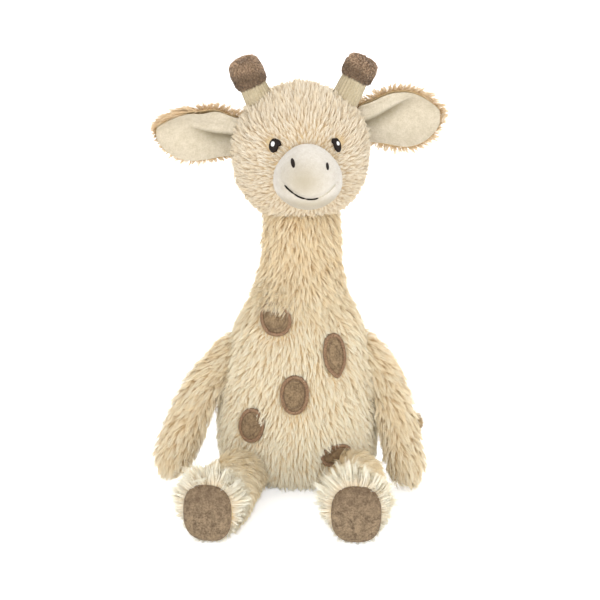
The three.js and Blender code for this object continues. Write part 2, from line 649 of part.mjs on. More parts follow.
// Mouth: one line of thread that follows the muzzle.
const mouthPoints = [-1, -0.75, -0.5, -0.25, 0, 0.25, 0.5, 0.75, 1].map((share) => {
  const across = share * mouthHalfWidth;
  const up = mouthCornerHeight - mouthSag * (1 - share * share) - muzzleCentreHeight;
  const lift = restGap + mouthThreadRadius;
  const left = 1 - (across / (muzzleHalfWidth + lift)) ** 2 - (up / (muzzleHalfHeight + lift)) ** 2;
  return new THREE.Vector3(across, -muzzleForward - (muzzleHalfDepth + lift) * Math.sqrt(left),
    muzzleCentreHeight + up);
});
const threadSection = new THREE.Shape(oval(mouthThreadRadius, mouthThreadRadius).getPoints(4).slice(1));
addToHead('mouth_thread', solidOf(new THREE.ExtrudeGeometry(threadSection, {
  steps: smallSegments, extrudePath: new THREE.CatmullRomCurve3(mouthPoints), bevelEnabled: false,
})), darkThread);

// Horns: a velour stem, a round brown velour tip and the stuffing through both.
const hornSets = [
  [rightHornLeanDegrees, rightHornBaseOffset, rightHornStemLength, rightHornTipHeight],
  [leftHornLeanDegrees, leftHornBaseOffset, leftHornStemLength, leftHornTipHeight],
];
const hornTipShares = [[0.00, 0.80], [0.07, 0.93], [0.26, 1.00], [0.60, 0.995], [0.80, 0.89], [0.93, 0.64],
  [0.985, 0.32]];
const tipOutline = (stemLength, tipHeight, inset) => hornTipShares.map(([up, out]) => new THREE.Vector2(
  Math.max(out * hornTipRadius - inset, hornNeckRadius - inset),
  stemLength + up * (tipHeight - inset)));
const onAxis = (height) => new THREE.Vector2(0, height);
function latheForm(points) {
  return new THREE.LatheGeometry(points, smallSegments).rotateX(Math.PI / 2);
}
const hornFillRadius = hornNeckRadius - velourThickness - restGap;
const hornParts = (stemLength, tipHeight) => [
  ['horn_stem', hornVelour, [
    new THREE.Vector2(hornStemRadius - velourThickness, 0),
    new THREE.Vector2(hornStemRadius, 0),
    new THREE.Vector2(hornNeckRadius, stemLength - restGap),
    new THREE.Vector2(hornNeckRadius - velourThickness, stemLength - restGap),
    new THREE.Vector2(hornStemRadius - velourThickness, 0),
  ]],
  ['horn_tip', brownVelour, [
    new THREE.Vector2(hornNeckRadius - velourThickness, stemLength),
    ...tipOutline(stemLength, tipHeight, 0),
    onAxis(stemLength + tipHeight),
    onAxis(stemLength + tipHeight - velourThickness),
    ...tipOutline(stemLength, tipHeight, velourThickness).reverse(),
    new THREE.Vector2(hornNeckRadius - velourThickness, stemLength),
  ]],
  ['horn_filling', fibre, [
    onAxis(0),
    new THREE.Vector2(hornStemRadius - velourThickness - restGap, 0),
    new THREE.Vector2(hornFillRadius, stemLength),
    ...tipOutline(stemLength, tipHeight, velourThickness + restGap).slice(1),
    onAxis(stemLength + tipHeight - velourThickness - restGap),
  ]],
];
limbs.forEach(({ side, word }, i) => {
  const [leanDegrees, baseOffset, stemLength, tipHeight] = hornSets[i];
  for (const [name, material, points] of hornParts(stemLength, tipHeight)) {
    const form = latheForm(points).rotateY(side * leanDegrees * degrees);
    form.translate(side * baseOffset, -hornForward, hornBaseHeight);
    addToHead(`${name}_${word}`, solidOf(form).subtract(headFace), material);
  }
});
ears.forEach(({ word, back, lining }) => {
  addToHead(`ear_back_${word}`, back, cream);
  addToHead(`ear_lining_${word}`, lining, paleVelour);
});

// Arms and legs: plush covers with their stuffing; a brown velour sole closes each leg.
for (const limb of limbs) {
  const start = limb.arm.getPointAt(0);
  const armMouth = (grown) => rodForm(
    start.clone().addScaledVector(limb.arm.getTangentAt(0), -armRadius),
    start.clone().addScaledVector(limb.arm.getTangentAt(0), armRadius),
    armMouthRadius + grown,
    smallSegments,
  );
  const arm = stuffed((inset) => armForm(limb, inset), armForm(limb, plushThickness),
    armForm(limb, plushThickness + restGap), armMouth(0), armMouth(-restGap));
  giraffe.add(pieceOf(`arm_cover_${limb.word}`, arm.cover, cream));
  giraffe.add(pieceOf(`arm_filling_${limb.word}`, arm.filling, fibre));

  const end = limb.leg.getPointAt(1);
  const direction = limb.leg.getTangentAt(1);
  const soleForm = (grown, fromDepth, toDepth) => {
    const outline = new THREE.Shape(oval(soleHalfWidth + grown, soleHalfHeight + grown)
      .getPoints(limbSegments / 2).slice(1));
    const disc = columnThrough(outline, 0, -soleDrop, fromDepth, toDepth);
    disc.applyQuaternion(new THREE.Quaternion().setFromUnitVectors(yAxis, direction.clone().negate()));
    return disc.translate(end.x, end.y, end.z);
  };
  const leg = stuffed((inset) => legForm(limb, inset), legForm(limb, plushThickness),
    legForm(limb, plushThickness + restGap), soleForm(restGap, -restGap, 2 * plushThickness),
    soleForm(0, soleThickness + restGap, 2 * plushThickness));
  giraffe.add(pieceOf(`leg_cover_${limb.word}`, leg.cover.subtract(floorSolid), cream));
  giraffe.add(pieceOf(`leg_filling_${limb.word}`, leg.filling, fibre));
  giraffe.add(pieceOf(`sole_${limb.word}`, solidOf(soleForm(0, 0, soleThickness)), soleVelour));
}

// Tail: a cloth cord with a round root, and a brown tuft over its end.
const tailPoints = tailShares.map(([across, back, up]) => new THREE.Vector3(across, back, up)
  .multiplyScalar(tailSideReach).add(tailPivot));
const tailPath = new THREE.CatmullRomCurve3(tailPoints);
const cordOutline = oval(tailCordRadius, tailCordRadius).getPoints(cordSegments / 2).slice(1);
const cordSection = new THREE.Shape(cordOutline);
const cord = solidOf(new THREE.ExtrudeGeometry(cordSection, {
  steps: smallSegments, extrudePath: tailPath, bevelEnabled: false,
}));
const tailEnd = tailPoints[tailPoints.length - 1];
const tuftCentre = new THREE.Vector3(tailEnd.x + tuftHalfLength, tailEnd.y, tuftFloorGap + tuftRadius);
const tuft = ballForm(tuftCentre, tuftHalfLength, tuftRadius, tuftRadius, limbSegments, smallSegments);
giraffe.add(pieceOf('tail_cord', cord.add(solidOf(tailRoot(0))), cream));
giraffe.add(pieceOf('tail_tuft', solidOf(tuft).subtract(cord), brownPile));

export default giraffe;
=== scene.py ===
import math

import bmesh
import bpy
import numpy as np
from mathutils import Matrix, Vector
from mathutils.bvhtree import BVHTree


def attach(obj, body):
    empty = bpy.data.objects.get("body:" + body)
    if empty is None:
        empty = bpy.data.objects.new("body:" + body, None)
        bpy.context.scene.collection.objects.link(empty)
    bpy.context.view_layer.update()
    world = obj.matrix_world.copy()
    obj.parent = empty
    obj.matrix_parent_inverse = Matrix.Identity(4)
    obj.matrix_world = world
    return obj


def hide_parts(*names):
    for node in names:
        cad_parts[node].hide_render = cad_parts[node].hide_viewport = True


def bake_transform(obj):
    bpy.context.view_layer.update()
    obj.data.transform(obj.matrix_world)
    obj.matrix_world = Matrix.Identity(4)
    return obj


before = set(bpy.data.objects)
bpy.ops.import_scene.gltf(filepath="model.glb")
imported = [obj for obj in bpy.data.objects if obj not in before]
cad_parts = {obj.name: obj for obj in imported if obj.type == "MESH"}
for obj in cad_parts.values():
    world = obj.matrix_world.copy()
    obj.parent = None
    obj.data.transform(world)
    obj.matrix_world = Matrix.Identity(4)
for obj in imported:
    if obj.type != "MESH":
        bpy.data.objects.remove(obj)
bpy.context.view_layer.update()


# The table and the light: a plain white sweep that runs up behind the toy, five wide soft lamps and an even
# pale sky. The camera stands a metre off and looks slightly down.
def dyed(red, green, blue):
    """A colour as a dye card gives it, 0 to 255, turned into the light that it sends back."""
    shares = [c / 255 for c in (red, green, blue)]
    return tuple(s / 12.92 if s <= 0.04045 else ((s + 0.055) / 1.055) ** 2.4 for s in shares) + (1.0,)


def wired(tree, kind, sockets=None, **choices):
    """One node with its choices made and its sockets set or joined."""
    node = tree.nodes.new(kind)
    for name, value in choices.items():
        setattr(node, name, value)
    for key, value in (sockets or {}).items():
        socket = node.inputs[key]
        if isinstance(value, bpy.types.NodeSocket):
            tree.links.new(value, socket)
        else:
            socket.default_value = value
    return node


def in_scene(name, data):
    """An object made of the given data, placed in the scene."""
    obj = bpy.data.objects.new(name, data)
    bpy.context.scene.collection.objects.link(obj)
    return obj


def seen_straight(tree):
    """1 for rays that come from the camera or off a gloss, and 0 for all others."""
    path = wired(tree, "ShaderNodeLightPath").outputs
    return wired(tree, "ShaderNodeMath", {0: path["Is Camera Ray"], 1: path["Is Glossy Ray"]},
                 operation="MAXIMUM").outputs[0]


def sweep():
    """The white sweep under and behind the toy."""
    reach, bend_at, bend, wall_top = 4.0, 0.9, 0.6, 3.5
    profile = [(-reach, 0.0), (bend_at, 0.0)]
    profile += [(bend_at + bend * math.sin(a), bend - bend * math.cos(a))
                for a in np.linspace(0.15, math.pi / 2, 10)]
    profile += [(bend_at + bend, wall_top)]
    mesh = bpy.data.meshes.new("sweep")
    points = [(x, y, z) for y, z in profile for x in (-reach, reach)]
    faces = [(2 * i, 2 * i + 1, 2 * i + 3, 2 * i + 2) for i in range(len(profile) - 1)]
    mesh.from_pydata(points, [], faces)
    mesh.polygons.foreach_set("use_smooth", [True] * len(faces))
    material = bpy.data.materials.new("white_sweep")
    material.use_nodes = True
    tree = material.node_tree
    tree.nodes.clear()
    matt = wired(tree, "ShaderNodeBsdfDiffuse", {"Color": (0.93, 0.93, 0.93, 1)}).outputs[0]
    glow = wired(tree, "ShaderNodeEmission", {"Color": (1, 1, 1, 1), "Strength": 0.62}).outputs[0]
    both = wired(tree, "ShaderNodeAddShader", {0: matt, 1: glow}).outputs[0]
    mixed = wired(tree, "ShaderNodeMixShader", {0: seen_straight(tree), 1: matt, 2: both}).outputs[0]
    wired(tree, "ShaderNodeOutputMaterial", {"Surface": mixed})
    mesh.materials.append(material)
    return in_scene("sweep", mesh)


sweep()
toy_middle = Vector((0, 0, 0.13))
for name, place, size, power in (("key_lamp", (-0.6, -2.0, 0.72), 1.5, 19.5),
                                 ("low_lamp", (0.1, -1.7, 0.25), 0.9, 4.2),
                                 ("side_lamp", (1.3, -1.6, 0.42), 1.2, 10.5),
                                 ("top_lamp", (0.1, 0.3, 1.9), 1.2, 7.4),
                                 ("back_lamp", (0.35, 1.1, 1.0), 0.9, 9)):
    light = bpy.data.lights.new(name, "AREA")
    light.shape, light.size, light.energy = "SQUARE", size, power
    lamp = in_scene(name, light)
    lamp.location = place
    lamp.rotation_euler = (toy_middle - Vector(place)).to_track_quat("-Z", "Y").to_euler()
sky = bpy.data.worlds.new("sky")
sky.use_nodes = True
sky_light = sky.node_tree.nodes["Background"].inputs
sky_light["Color"].default_value = (1, 1, 1, 1)
sky_level = wired(sky.node_tree, "ShaderNodeMapRange", {0: seen_straight(sky.node_tree), 3: 0.58, 4: 1.0})
sky.node_tree.links.new(sky_level.outputs[0], sky_light["Strength"])
bpy.context.scene.world = sky
bpy.context.scene.view_settings.view_transform = "Standard"

camera_distance, camera_height, aim_height = 1.0, 0.4, 0.1235
lens = bpy.data.cameras.new("camera")
lens.sensor_width, lens.lens = 36, 93.377
camera = in_scene("camera", lens)
camera.location = (0, -camera_distance, camera_height)
camera.rotation_euler = (math.pi / 2 - math.atan2(camera_height - aim_height, camera_distance), 0, 0)
bpy.context.scene.camera = camera


# The torso: a pear of knitted backing with a long cream pile, sewn from panels and stuffed with fibre over a
# bag of beads. The pile lies down and outward in small curly locks.
MM = 0.001
SIDEWAYS, FORTH, UPWARD = (1, 0, 0), (0, 1, 0), (0, 0, 1)


def ring_about(centre, side, up, half_side, half_up, count=28):
    """One oval ring of points."""
    angles = np.arange(count) * 2 * math.pi / count
    return (np.array(centre) + np.outer(np.cos(angles) * half_side, side)
            + np.outer(np.sin(angles) * half_up, up))


def ring_faces(first, second, count):
    """The faces between two rings of points, given by the number of each one's first point."""
    return [(first + i, first + (i + 1) % count, second + (i + 1) % count, second + i) for i in range(count)]


def closed_skin(name, rings, finish, smoothing=2):
    """A closed skin through rings of points, in millimetres, rounded off by subdivision."""
    count = len(rings[0])
    points = np.vstack(list(rings) + [rings[0].mean(axis=0), rings[-1].mean(axis=0)]) * MM
    last = (len(rings) - 1) * count
    faces = [face for first in range(0, last, count) for face in ring_faces(first, first + count, count)]
    faces += [(len(points) - 2, (i + 1) % count, i) for i in range(count)]
    faces += [(len(points) - 1, last + i, last + (i + 1) % count) for i in range(count)]
    return smooth_piece(name, points, faces, finish, smoothing)


def smooth_piece(name, points, faces, finish, smoothing):
    """A named piece with outward faces, smoothed by subdivision and shaded smooth."""
    mesh = bpy.data.meshes.new(name)
    mesh.from_pydata([tuple(p) for p in points], [], faces)
    work = bmesh.new()
    work.from_mesh(mesh)
    bmesh.ops.recalc_face_normals(work, faces=work.faces)
    work.to_mesh(mesh)
    work.free()
    obj = in_scene(name, mesh)
    if smoothing:
        rounding = obj.modifiers.new("rounding", "SUBSURF")
        rounding.levels = rounding.render_levels = smoothing
        made_plain(obj)
    obj.data.polygons.foreach_set("use_smooth", [True] * len(obj.data.polygons))
    obj.data.materials.clear()
    obj.data.materials.append(finish)
    return obj


def evaluated(obj):
    """The mesh that the modifiers make of a piece."""
    bpy.context.view_layer.update()
    return bpy.data.meshes.new_from_object(obj.evaluated_get(bpy.context.evaluated_depsgraph_get()))


def made_plain(obj):
    """What the modifiers make of a piece becomes its own mesh."""
    shaped = evaluated(obj)
    obj.modifiers.clear()
    old = obj.data
    obj.data = shaped
    shaped.name = obj.name
    bpy.data.meshes.remove(old)


def surface_of(skin):
    """The skin's surface, for rays to meet."""
    return BVHTree.FromObject(skin, bpy.context.evaluated_depsgraph_get())


def skin_points(skin):
    """The points and outward directions of a skin, in millimetres and as unit vectors."""
    count = len(skin.data.vertices)
    points = np.empty(count * 3)
    skin.data.vertices.foreach_get("co", points)
    outward = np.empty(count * 3)
    skin.data.vertex_normals.foreach_get("vector", outward)
    return points.reshape(-1, 3) / MM, outward.reshape(-1, 3)


def unit(vectors):
    """A vector, or each of many, at length one."""
    return vectors / np.maximum(np.linalg.norm(vectors, axis=-1, keepdims=True), 1e-9)


def eased(values, low, high):
    """0 at low, 1 at high and a smooth rise between."""
    t = np.clip((np.asarray(values, float) - low) / (high - low), 0, 1)
    return t * t * (3 - 2 * t)


def marked(skin, layer, values):
    """Writes one number per point on a skin, for its pile or its finish to read."""
    written = skin.data.attributes.new(layer, "FLOAT", "POINT")
    written.data.foreach_set("value", np.broadcast_to(values, len(skin.data.vertices)).astype(np.float32))


def combed(skin, comb, pile, rise, tone, cover):
    """Writes on the skin how its pile lies, how long it is, how far it stands, its tone and where it grows."""
    outward = skin_points(skin)[1]
    comb = unit(comb - outward * (comb * outward).sum(axis=1, keepdims=True))
    layer = skin.data.attributes.new("comb", "FLOAT_VECTOR", "POINT")
    layer.data.foreach_set("vector", comb.astype(np.float32).ravel())
    for name, values in (("pile", np.multiply(pile, MM)), ("rise", rise), ("tone", tone), ("cover", cover)):
        marked(skin, name, values)


def pile_tree():
    """The pile: strands rooted all over a skin, bent over along its comb and drawn together into locks."""
    tree = bpy.data.node_groups.new("plush_pile", "GeometryNodeTree")
    tree.interface.new_socket("Skin", in_out="INPUT", socket_type="NodeSocketGeometry")
    for name, kind in (("Strands Per Area", "Float"), ("Lock Spacing", "Float"), ("Strand Width", "Float"),
                       ("Lock Pull", "Float"), ("Tousle", "Float"), ("Swirl", "Float"), ("Lowest", "Float"),
                       ("Seed", "Int"), ("Finish", "Material")):
        tree.interface.new_socket(name, in_out="INPUT", socket_type="NodeSocket" + kind)
    tree.interface.new_socket("Pile", in_out="OUTPUT", socket_type="NodeSocketGeometry")
    given = tree.nodes.new("NodeGroupInput").outputs

    def vector(operation, a, b=None, scale=None):
        sockets = {0: a}
        if b is not None:
            sockets[1] = b
        if scale is not None:
            sockets["Scale"] = scale
        node = wired(tree, "ShaderNodeVectorMath", sockets, operation=operation)
        return node.outputs["Value" if operation == "DOT_PRODUCT" else "Vector"]

    def number(operation, a, b=0.0, clamp=False):
        return wired(tree, "ShaderNodeMath", {0: a, 1: b}, operation=operation, use_clamp=clamp).outputs[0]

    def written(name, kind="FLOAT"):
        return wired(tree, "GeometryNodeInputNamedAttribute", {0: name}, data_type=kind).outputs[0]

    def with_layer(geometry, name, value, kind="FLOAT", domain="POINT"):
        return wired(tree, "GeometryNodeStoreNamedAttribute", {0: geometry, 2: name, 3: value}, data_type=kind,
                     domain=domain).outputs[0]

    def chance(low, high, seed):
        return wired(tree, "FunctionNodeRandomValue", {2: low, 3: high, 8: seed}, data_type="FLOAT").outputs[1]

    def chance_vector(seed):
        return wired(tree, "FunctionNodeRandomValue", {0: (-1, -1, -1), 1: (1, 1, 1), 8: seed},
                     data_type="FLOAT_VECTOR").outputs[0]

    place = wired(tree, "GeometryNodeInputPosition").outputs[0]
    density = number("MULTIPLY", written("cover"), given["Strands Per Area"])
    roots = wired(tree, "GeometryNodeDistributePointsOnFaces",
                  {0: given["Skin"], 4: density, 6: given["Seed"]}, distribute_method="RANDOM")
    locks = wired(tree, "GeometryNodeDistributePointsOnFaces",
                  {0: given["Skin"], 2: given["Lock Spacing"], 3: 1.5e6, 5: 1.0,
                   6: number("ADD", given["Seed"], 7)}, distribute_method="POISSON").outputs[0]
    nearest = wired(tree, "GeometryNodeSampleNearest", {0: locks, 1: place}).outputs[0]

    def of_lock(value):
        return wired(tree, "GeometryNodeSampleIndex", {0: locks, 1: value, 2: nearest},
                     data_type="FLOAT_VECTOR", domain="POINT").outputs[0]

    cloud = wired(tree, "ShaderNodeTexNoise", {"Vector": place, "Scale": 55.0, "Detail": 1.0}).outputs["Color"]
    swirl = vector("SUBTRACT", cloud, (0.5, 0.5, 0.5))
    swirl = vector("SCALE", swirl, scale=number("MULTIPLY", given["Swirl"], 4.0))
    strayed = vector("SCALE", chance_vector(3), scale=given["Tousle"])
    lock_lie = vector("ADD", vector("ADD", written("comb", "FLOAT_VECTOR"), swirl), strayed)
    lie = of_lock(vector("NORMALIZE", lock_lie))
    up = roots.outputs["Normal"]
    out_of_skin = vector("SCALE", up, scale=vector("DOT_PRODUCT", lie, up))
    lie = vector("NORMALIZE", vector("SUBTRACT", lie, out_of_skin))
    to_lock = vector("SUBTRACT", of_lock(place), place)
    lots = wired(tree, "ShaderNodeSeparateXYZ", {0: of_lock(chance_vector(5))}).outputs
    length = number("MULTIPLY", written("pile"), number("ADD", number("MULTIPLY", lots[0], 0.22), 1.0))
    length = number("MULTIPLY", length, chance(0.84, 1.1, 11))
    stand = number("MULTIPLY", written("rise"), number("ADD", number("MULTIPLY", lots[2], 0.35), 1.0))
    stand = number("MULTIPLY", stand, chance(0.8, 1.2, 12))
    tone = number("ADD", written("tone"), number("MULTIPLY", lots[1], 0.16))
    tone = number("ADD", tone, chance(-0.1, 0.1, 13), clamp=True)

    rooted = roots.outputs[0]
    for name, value, kind in (("root_at", place, "FLOAT_VECTOR"), ("up", up, "FLOAT_VECTOR"),
                              ("lie", lie, "FLOAT_VECTOR"), ("to_lock", to_lock, "FLOAT_VECTOR"),
                              ("length", length, "FLOAT"), ("stand", stand, "FLOAT"),
                              ("strand_tone", tone, "FLOAT"), ("roll", chance(-1.1, 1.1, 14), "FLOAT")):
        rooted = with_layer(rooted, name, value, kind)

    blade = wired(tree, "GeometryNodeMeshGrid", {0: 1.0, 1: 1.0, 2: 2, 3: 3}).outputs[0]
    spot = wired(tree, "ShaderNodeSeparateXYZ", {0: place}).outputs
    blade = with_layer(blade, "along", number("ADD", spot[1], 0.5))
    blade = with_layer(blade, "side", number("MULTIPLY", spot[0], 2.0))
    strands = wired(tree, "GeometryNodeInstanceOnPoints", {0: rooted, 2: blade}).outputs[0]
    strands = wired(tree, "GeometryNodeRealizeInstances", {0: strands}).outputs[0]

    along, side = written("along"), written("side")
    up, lie = written("up", "FLOAT_VECTOR"), written("lie", "FLOAT_VECTOR")
    squared = number("MULTIPLY", along, along)
    forward = number("ADD", number("MULTIPLY", along, 0.5), number("MULTIPLY", squared, 0.5))
    forward = number("MULTIPLY", forward, number("SUBTRACT", 1.0, number("MULTIPLY", written("stand"), 0.4)))
    forward = number("MULTIPLY", forward, written("length"))
    raised = number("SUBTRACT", number("MULTIPLY", along, 1.6), number("MULTIPLY", squared, 0.75))
    raised = number("MULTIPLY", number("MULTIPLY", raised, written("stand")), written("length"))
    across = vector("CROSS_PRODUCT", lie, up)
    roll = written("roll")
    across = vector("ADD", vector("SCALE", across, scale=number("COSINE", roll)),
                    vector("SCALE", up, scale=number("SINE", roll)))
    half = number("MULTIPLY", number("SUBTRACT", 1.05, number("MULTIPLY", along, 0.8)), given["Strand Width"])
    half = number("MULTIPLY", number("MULTIPLY", half, side), 0.5)
    drawn = number("MULTIPLY", number("POWER", along, 1.3), given["Lock Pull"])
    at = vector("ADD", written("root_at", "FLOAT_VECTOR"), vector("SCALE", lie, scale=forward))
    at = vector("ADD", at, vector("SCALE", up, scale=raised))
    at = vector("ADD", at, vector("SCALE", across, scale=half))
    at = vector("ADD", at, vector("SCALE", written("to_lock", "FLOAT_VECTOR"), scale=drawn))
    parts = wired(tree, "ShaderNodeSeparateXYZ", {0: at}).outputs
    height = number("MAXIMUM", parts[2], given["Lowest"])
    at = wired(tree, "ShaderNodeCombineXYZ", {0: parts[0], 1: parts[1], 2: height}).outputs[0]
    strands = wired(tree, "GeometryNodeSetPosition", {0: strands, 2: at}).outputs[0]
    card_across = number("ADD", number("MULTIPLY", written("strand_tone"), 0.96), 0.02)
    card_across = number("ADD", card_across, number("MULTIPLY", side, 0.004))
    card_up = number("ADD", number("MULTIPLY", along, 0.96), 0.02)
    card = wired(tree, "ShaderNodeCombineXYZ", {0: card_across, 1: card_up}).outputs[0]
    strands = with_layer(strands, "OFBake", card, "FLOAT2", "CORNER")
    strands = wired(tree, "GeometryNodeSetMaterial", {0: strands, 2: given["Finish"]}).outputs[0]
    result = tree.nodes.new("NodeGroupOutput")
    tree.links.new(strands, result.inputs[0])
    return tree


plush_pile = pile_tree()
comb_layers = ("comb", "pile", "rise", "tone", "cover")
strand_layers = ("root_at", "up", "lie", "to_lock", "length", "stand", "strand_tone", "roll", "along", "side")


def fed(modifier, tree, values):
    """Gives a modifier its node tree and the values of the tree's inputs."""
    modifier.node_group = tree
    for item in tree.interface.items_tree:
        if item.name in values:
            modifier[item.identifier] = values[item.name]


def pile_on(skin, name, finish, seed, strands=2.5, spacing=1.7, width=0.38, pull=0.55, tousle=0.34, swirl=0.28,
            lowest=0.3):
    """The pile of a combed skin as a piece of its own, which takes the comb's marks off the skin.

    Strands are counted per square millimetre, and sizes are in millimetres."""
    growth = skin.modifiers.new("pile", "NODES")
    fed(growth, plush_pile, {
        "Strands Per Area": strands / MM ** 2, "Lock Spacing": spacing * MM, "Strand Width": width * MM,
        "Lock Pull": pull, "Tousle": tousle, "Swirl": swirl, "Lowest": lowest * MM, "Seed": seed,
        "Finish": finish})
    mesh = evaluated(skin)
    skin.modifiers.remove(growth)
    for layer in comb_layers:
        skin.data.attributes.remove(skin.data.attributes[layer])
    for layer in comb_layers + strand_layers:
        if layer in mesh.attributes:
            mesh.attributes.remove(mesh.attributes[layer])
    mesh.polygons.foreach_set("use_smooth", [True] * len(mesh.polygons))
    mesh.name = name
    return in_scene(name, mesh)


def bare_finish(name, roughness):
    """A new material with its roughness set, and its node tree and shader."""
    material = bpy.data.materials.new(name)
    material.use_nodes = True
    shader = material.node_tree.nodes["Principled BSDF"]
    shader.inputs["Roughness"].default_value = roughness
    return material, material.node_tree, shader


def blended(tree, share, first, second):
    """A colour between two others."""
    return wired(tree, "ShaderNodeMix", {0: share, 6: first, 7: second}, data_type="RGBA").outputs[2]


def speckle(tree, scale, detail, roughness=0.5):
    """Fine noise that keeps its place on the piece."""
    place = wired(tree, "ShaderNodeTexCoord").outputs["Object"]
    return wired(tree, "ShaderNodeTexNoise",
                 {"Vector": place, "Scale": scale, "Detail": detail, "Roughness": roughness}).outputs[0]


def embossed(tree, shader, height, strength, depth):
    """Makes a finish stand up where the given height does."""
    bump = wired(tree, "ShaderNodeBump", {"Strength": strength, "Distance": depth, "Height": height})
    tree.links.new(bump.outputs[0], shader.inputs["Normal"])


def pile_finish(name, roots, tips, spread=0.16):
    """Pile: each strand is darker at its root, partly the pile's own tan root and partly painted shade deep
    among the locks, and a lock's tone runs between the two dyes given.
    """
    material, tree, shader = bare_finish(name, 0.75)
    card = wired(tree, "ShaderNodeUVMap", uv_map="OFBake").outputs[0]
    tone, along = wired(tree, "ShaderNodeSeparateXYZ", {0: card}).outputs[:2]
    rise = wired(tree, "ShaderNodeMapRange", {0: along, 1: 0.05, 2: 0.75},
                 interpolation_type="SMOOTHSTEP").outputs[0]
    root, tip = (blended(tree, tone, dyed(*deep), dyed(*light)) for deep, light in (roots, tips))
    tree.links.new(blended(tree, rise, root, tip), shader.inputs["Base Color"])
    shader.inputs["Sheen Weight"].default_value = spread
    shader.inputs["Sheen Roughness"].default_value = 0.5
    return material


def backing_finish(name, light, deep):
    """The knitted backing under the pile: a soft blotchy cloth."""
    material, tree, shader = bare_finish(name, 0.9)
    blotches = blended(tree, speckle(tree, 420.0, 3.0), dyed(*deep), dyed(*light))
    tree.links.new(blotches, shader.inputs["Base Color"])
    embossed(tree, shader, speckle(tree, 1500.0, 2.0), 0.6, 0.0008)
    return material


def belongs(pieces, body, node):
    """Puts the pieces on the body that carries them, and hides the node they stand for."""
    for piece in pieces:
        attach(piece, body)
        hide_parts(node)


cream_pile = pile_finish("cream_pile", ((208, 173, 120), (252, 230, 188)), ((248, 221, 170), (255, 250, 230)))
cream_backing = backing_finish("cream_backing", (238, 216, 172), (214, 186, 136))

# Height, half width and half depth as shares of the torso's, from the seat to the shoulders.
torso_rows = [
    (0.000, 0.40, 0.40), (0.009, 0.60, 0.60), (0.028, 0.79, 0.79), (0.070, 0.92, 0.93),
    (0.135, 0.985, 0.99), (0.235, 1.00, 1.00), (0.400, 0.99, 0.975), (0.560, 0.945, 0.925),
    (0.700, 0.885, 0.87), (0.810, 0.81, 0.81), (0.890, 0.735, 0.755), (0.955, 0.655, 0.69),
    (1.010, 0.575, 0.64), (1.045, 0.50, 0.57), (1.06, 0.30, 0.36),
]
torso_height, torso_half_width, torso_half_depth, torso_lean = 127.5, 55.0, 48.0, -2.0
skin_depth = 3.6
torso = closed_skin("torso_backing", [
    ring_about((torso_lean * (1 - up), 0, skin_depth * 0.6 + up * (torso_height - skin_depth)), SIDEWAYS,
               FORTH, wide * torso_half_width - skin_depth, deep * torso_half_depth - skin_depth, 36)
    for up, wide, deep in torso_rows], cream_backing)
torso_points, _ = skin_points(torso)
torso_surface = surface_of(torso)

# Centre across and up, half width and half height, tilt in degrees and the outline's radii as shares.
front_patches = [
    (-14.5, 117.5, 9.4, 9.7, 0, (1, 1, 1.02, 1, 1.03, 1.0, 0.98, 1.0, 1.04, 1.0, 1.02, 1)),
    (21.1, 94.3, 6.6, 14.5, 8, (1, 1.02, 1.05, 1.0, 1.05, 1, 0.98, 0.92, 0.85, 1.0, 0.88, 0.94)),
    (-3.5, 71.0, 8.6, 12.8, -4, (1, 1.05, 1.03, 1, 1.02, 1.04, 1, 0.98, 1.0, 1.0, 1.04, 1.04)),
    (-30.1, 48.3, 7.4, 11.5, -16, (1, 1.02, 0.98, 1, 1.06, 1.04, 1.0, 1.02, 1.0, 1, 1.04, 1.06)),
    (22.3, 29.0, 9.4, 6.8, 6, (1, 1.04, 1.04, 1, 1.02, 1.02, 1, 1, 1.02, 1, 1.02, 1.02)),
]
back_patches = [
    (-17.0, 96.0, 9.5, 13.0, 6, (1, 1.03, 1.02, 1, 1.03, 1.0, 1, 1.02, 1.0, 1, 1.04, 1.02)),
    (15.0, 66.0, 11.0, 12.5, -8, (1, 1.02, 1.04, 1, 1.0, 1.04, 1, 0.97, 1.02, 1, 1.04, 1.0)),
    (-22.0, 44.0, 10.0, 10.5, 0, (1, 1.04, 1.0, 1, 1.04, 1.02, 1, 1.02, 1.03, 1, 1.0, 1.02)),
]
patch_sets = ((-1, "front", front_patches), (1, "back", back_patches))


def edge_share(patch, angle):
    """How far the patch's outline stands out at an angle round its middle, as a share of its half sizes."""
    shares = patch[-1]
    return np.interp(angle % (2 * math.pi), np.linspace(0, 2 * math.pi, 13), shares + (shares[0],))


def patch_reach(patch, across, up):
    """How far a point lies from the patch's middle, where 1 is its edge."""
    middle_across, middle_up, half_wide, half_high, tilt, _ = patch
    turn = math.radians(tilt)
    dx, dz = across - middle_across, up - middle_up
    a = dx * math.cos(turn) + dz * math.sin(turn)
    b = -dx * math.sin(turn) + dz * math.cos(turn)
    return np.hypot(a / half_wide, b / half_high) / edge_share(patch, np.arctan2(b / half_high, a / half_wide))


def clear_of_patches(low, high):
    """For each point of the torso, 1 away from the patches and 0 well inside them."""
    clear = np.ones(len(torso_points))
    for facing, _, patches in patch_sets:
        for patch in patches:
            reach = patch_reach(patch, torso_points[:, 0], torso_points[:, 2])
            clear = np.minimum(clear, np.where(torso_points[:, 1] * facing > 0, eased(reach, low, high), 1))
    return clear


torso_comb = np.stack([(torso_points[:, 0] - torso_lean) / torso_half_width * 0.8,
                       torso_points[:, 1] / torso_half_depth * 0.25, -np.ones(len(torso_points))], axis=1)
torso_cover = clear_of_patches(0.9, 1.02) * eased(torso_points[:, 2], 0.5, 4)
overhang = np.zeros(len(torso_points))
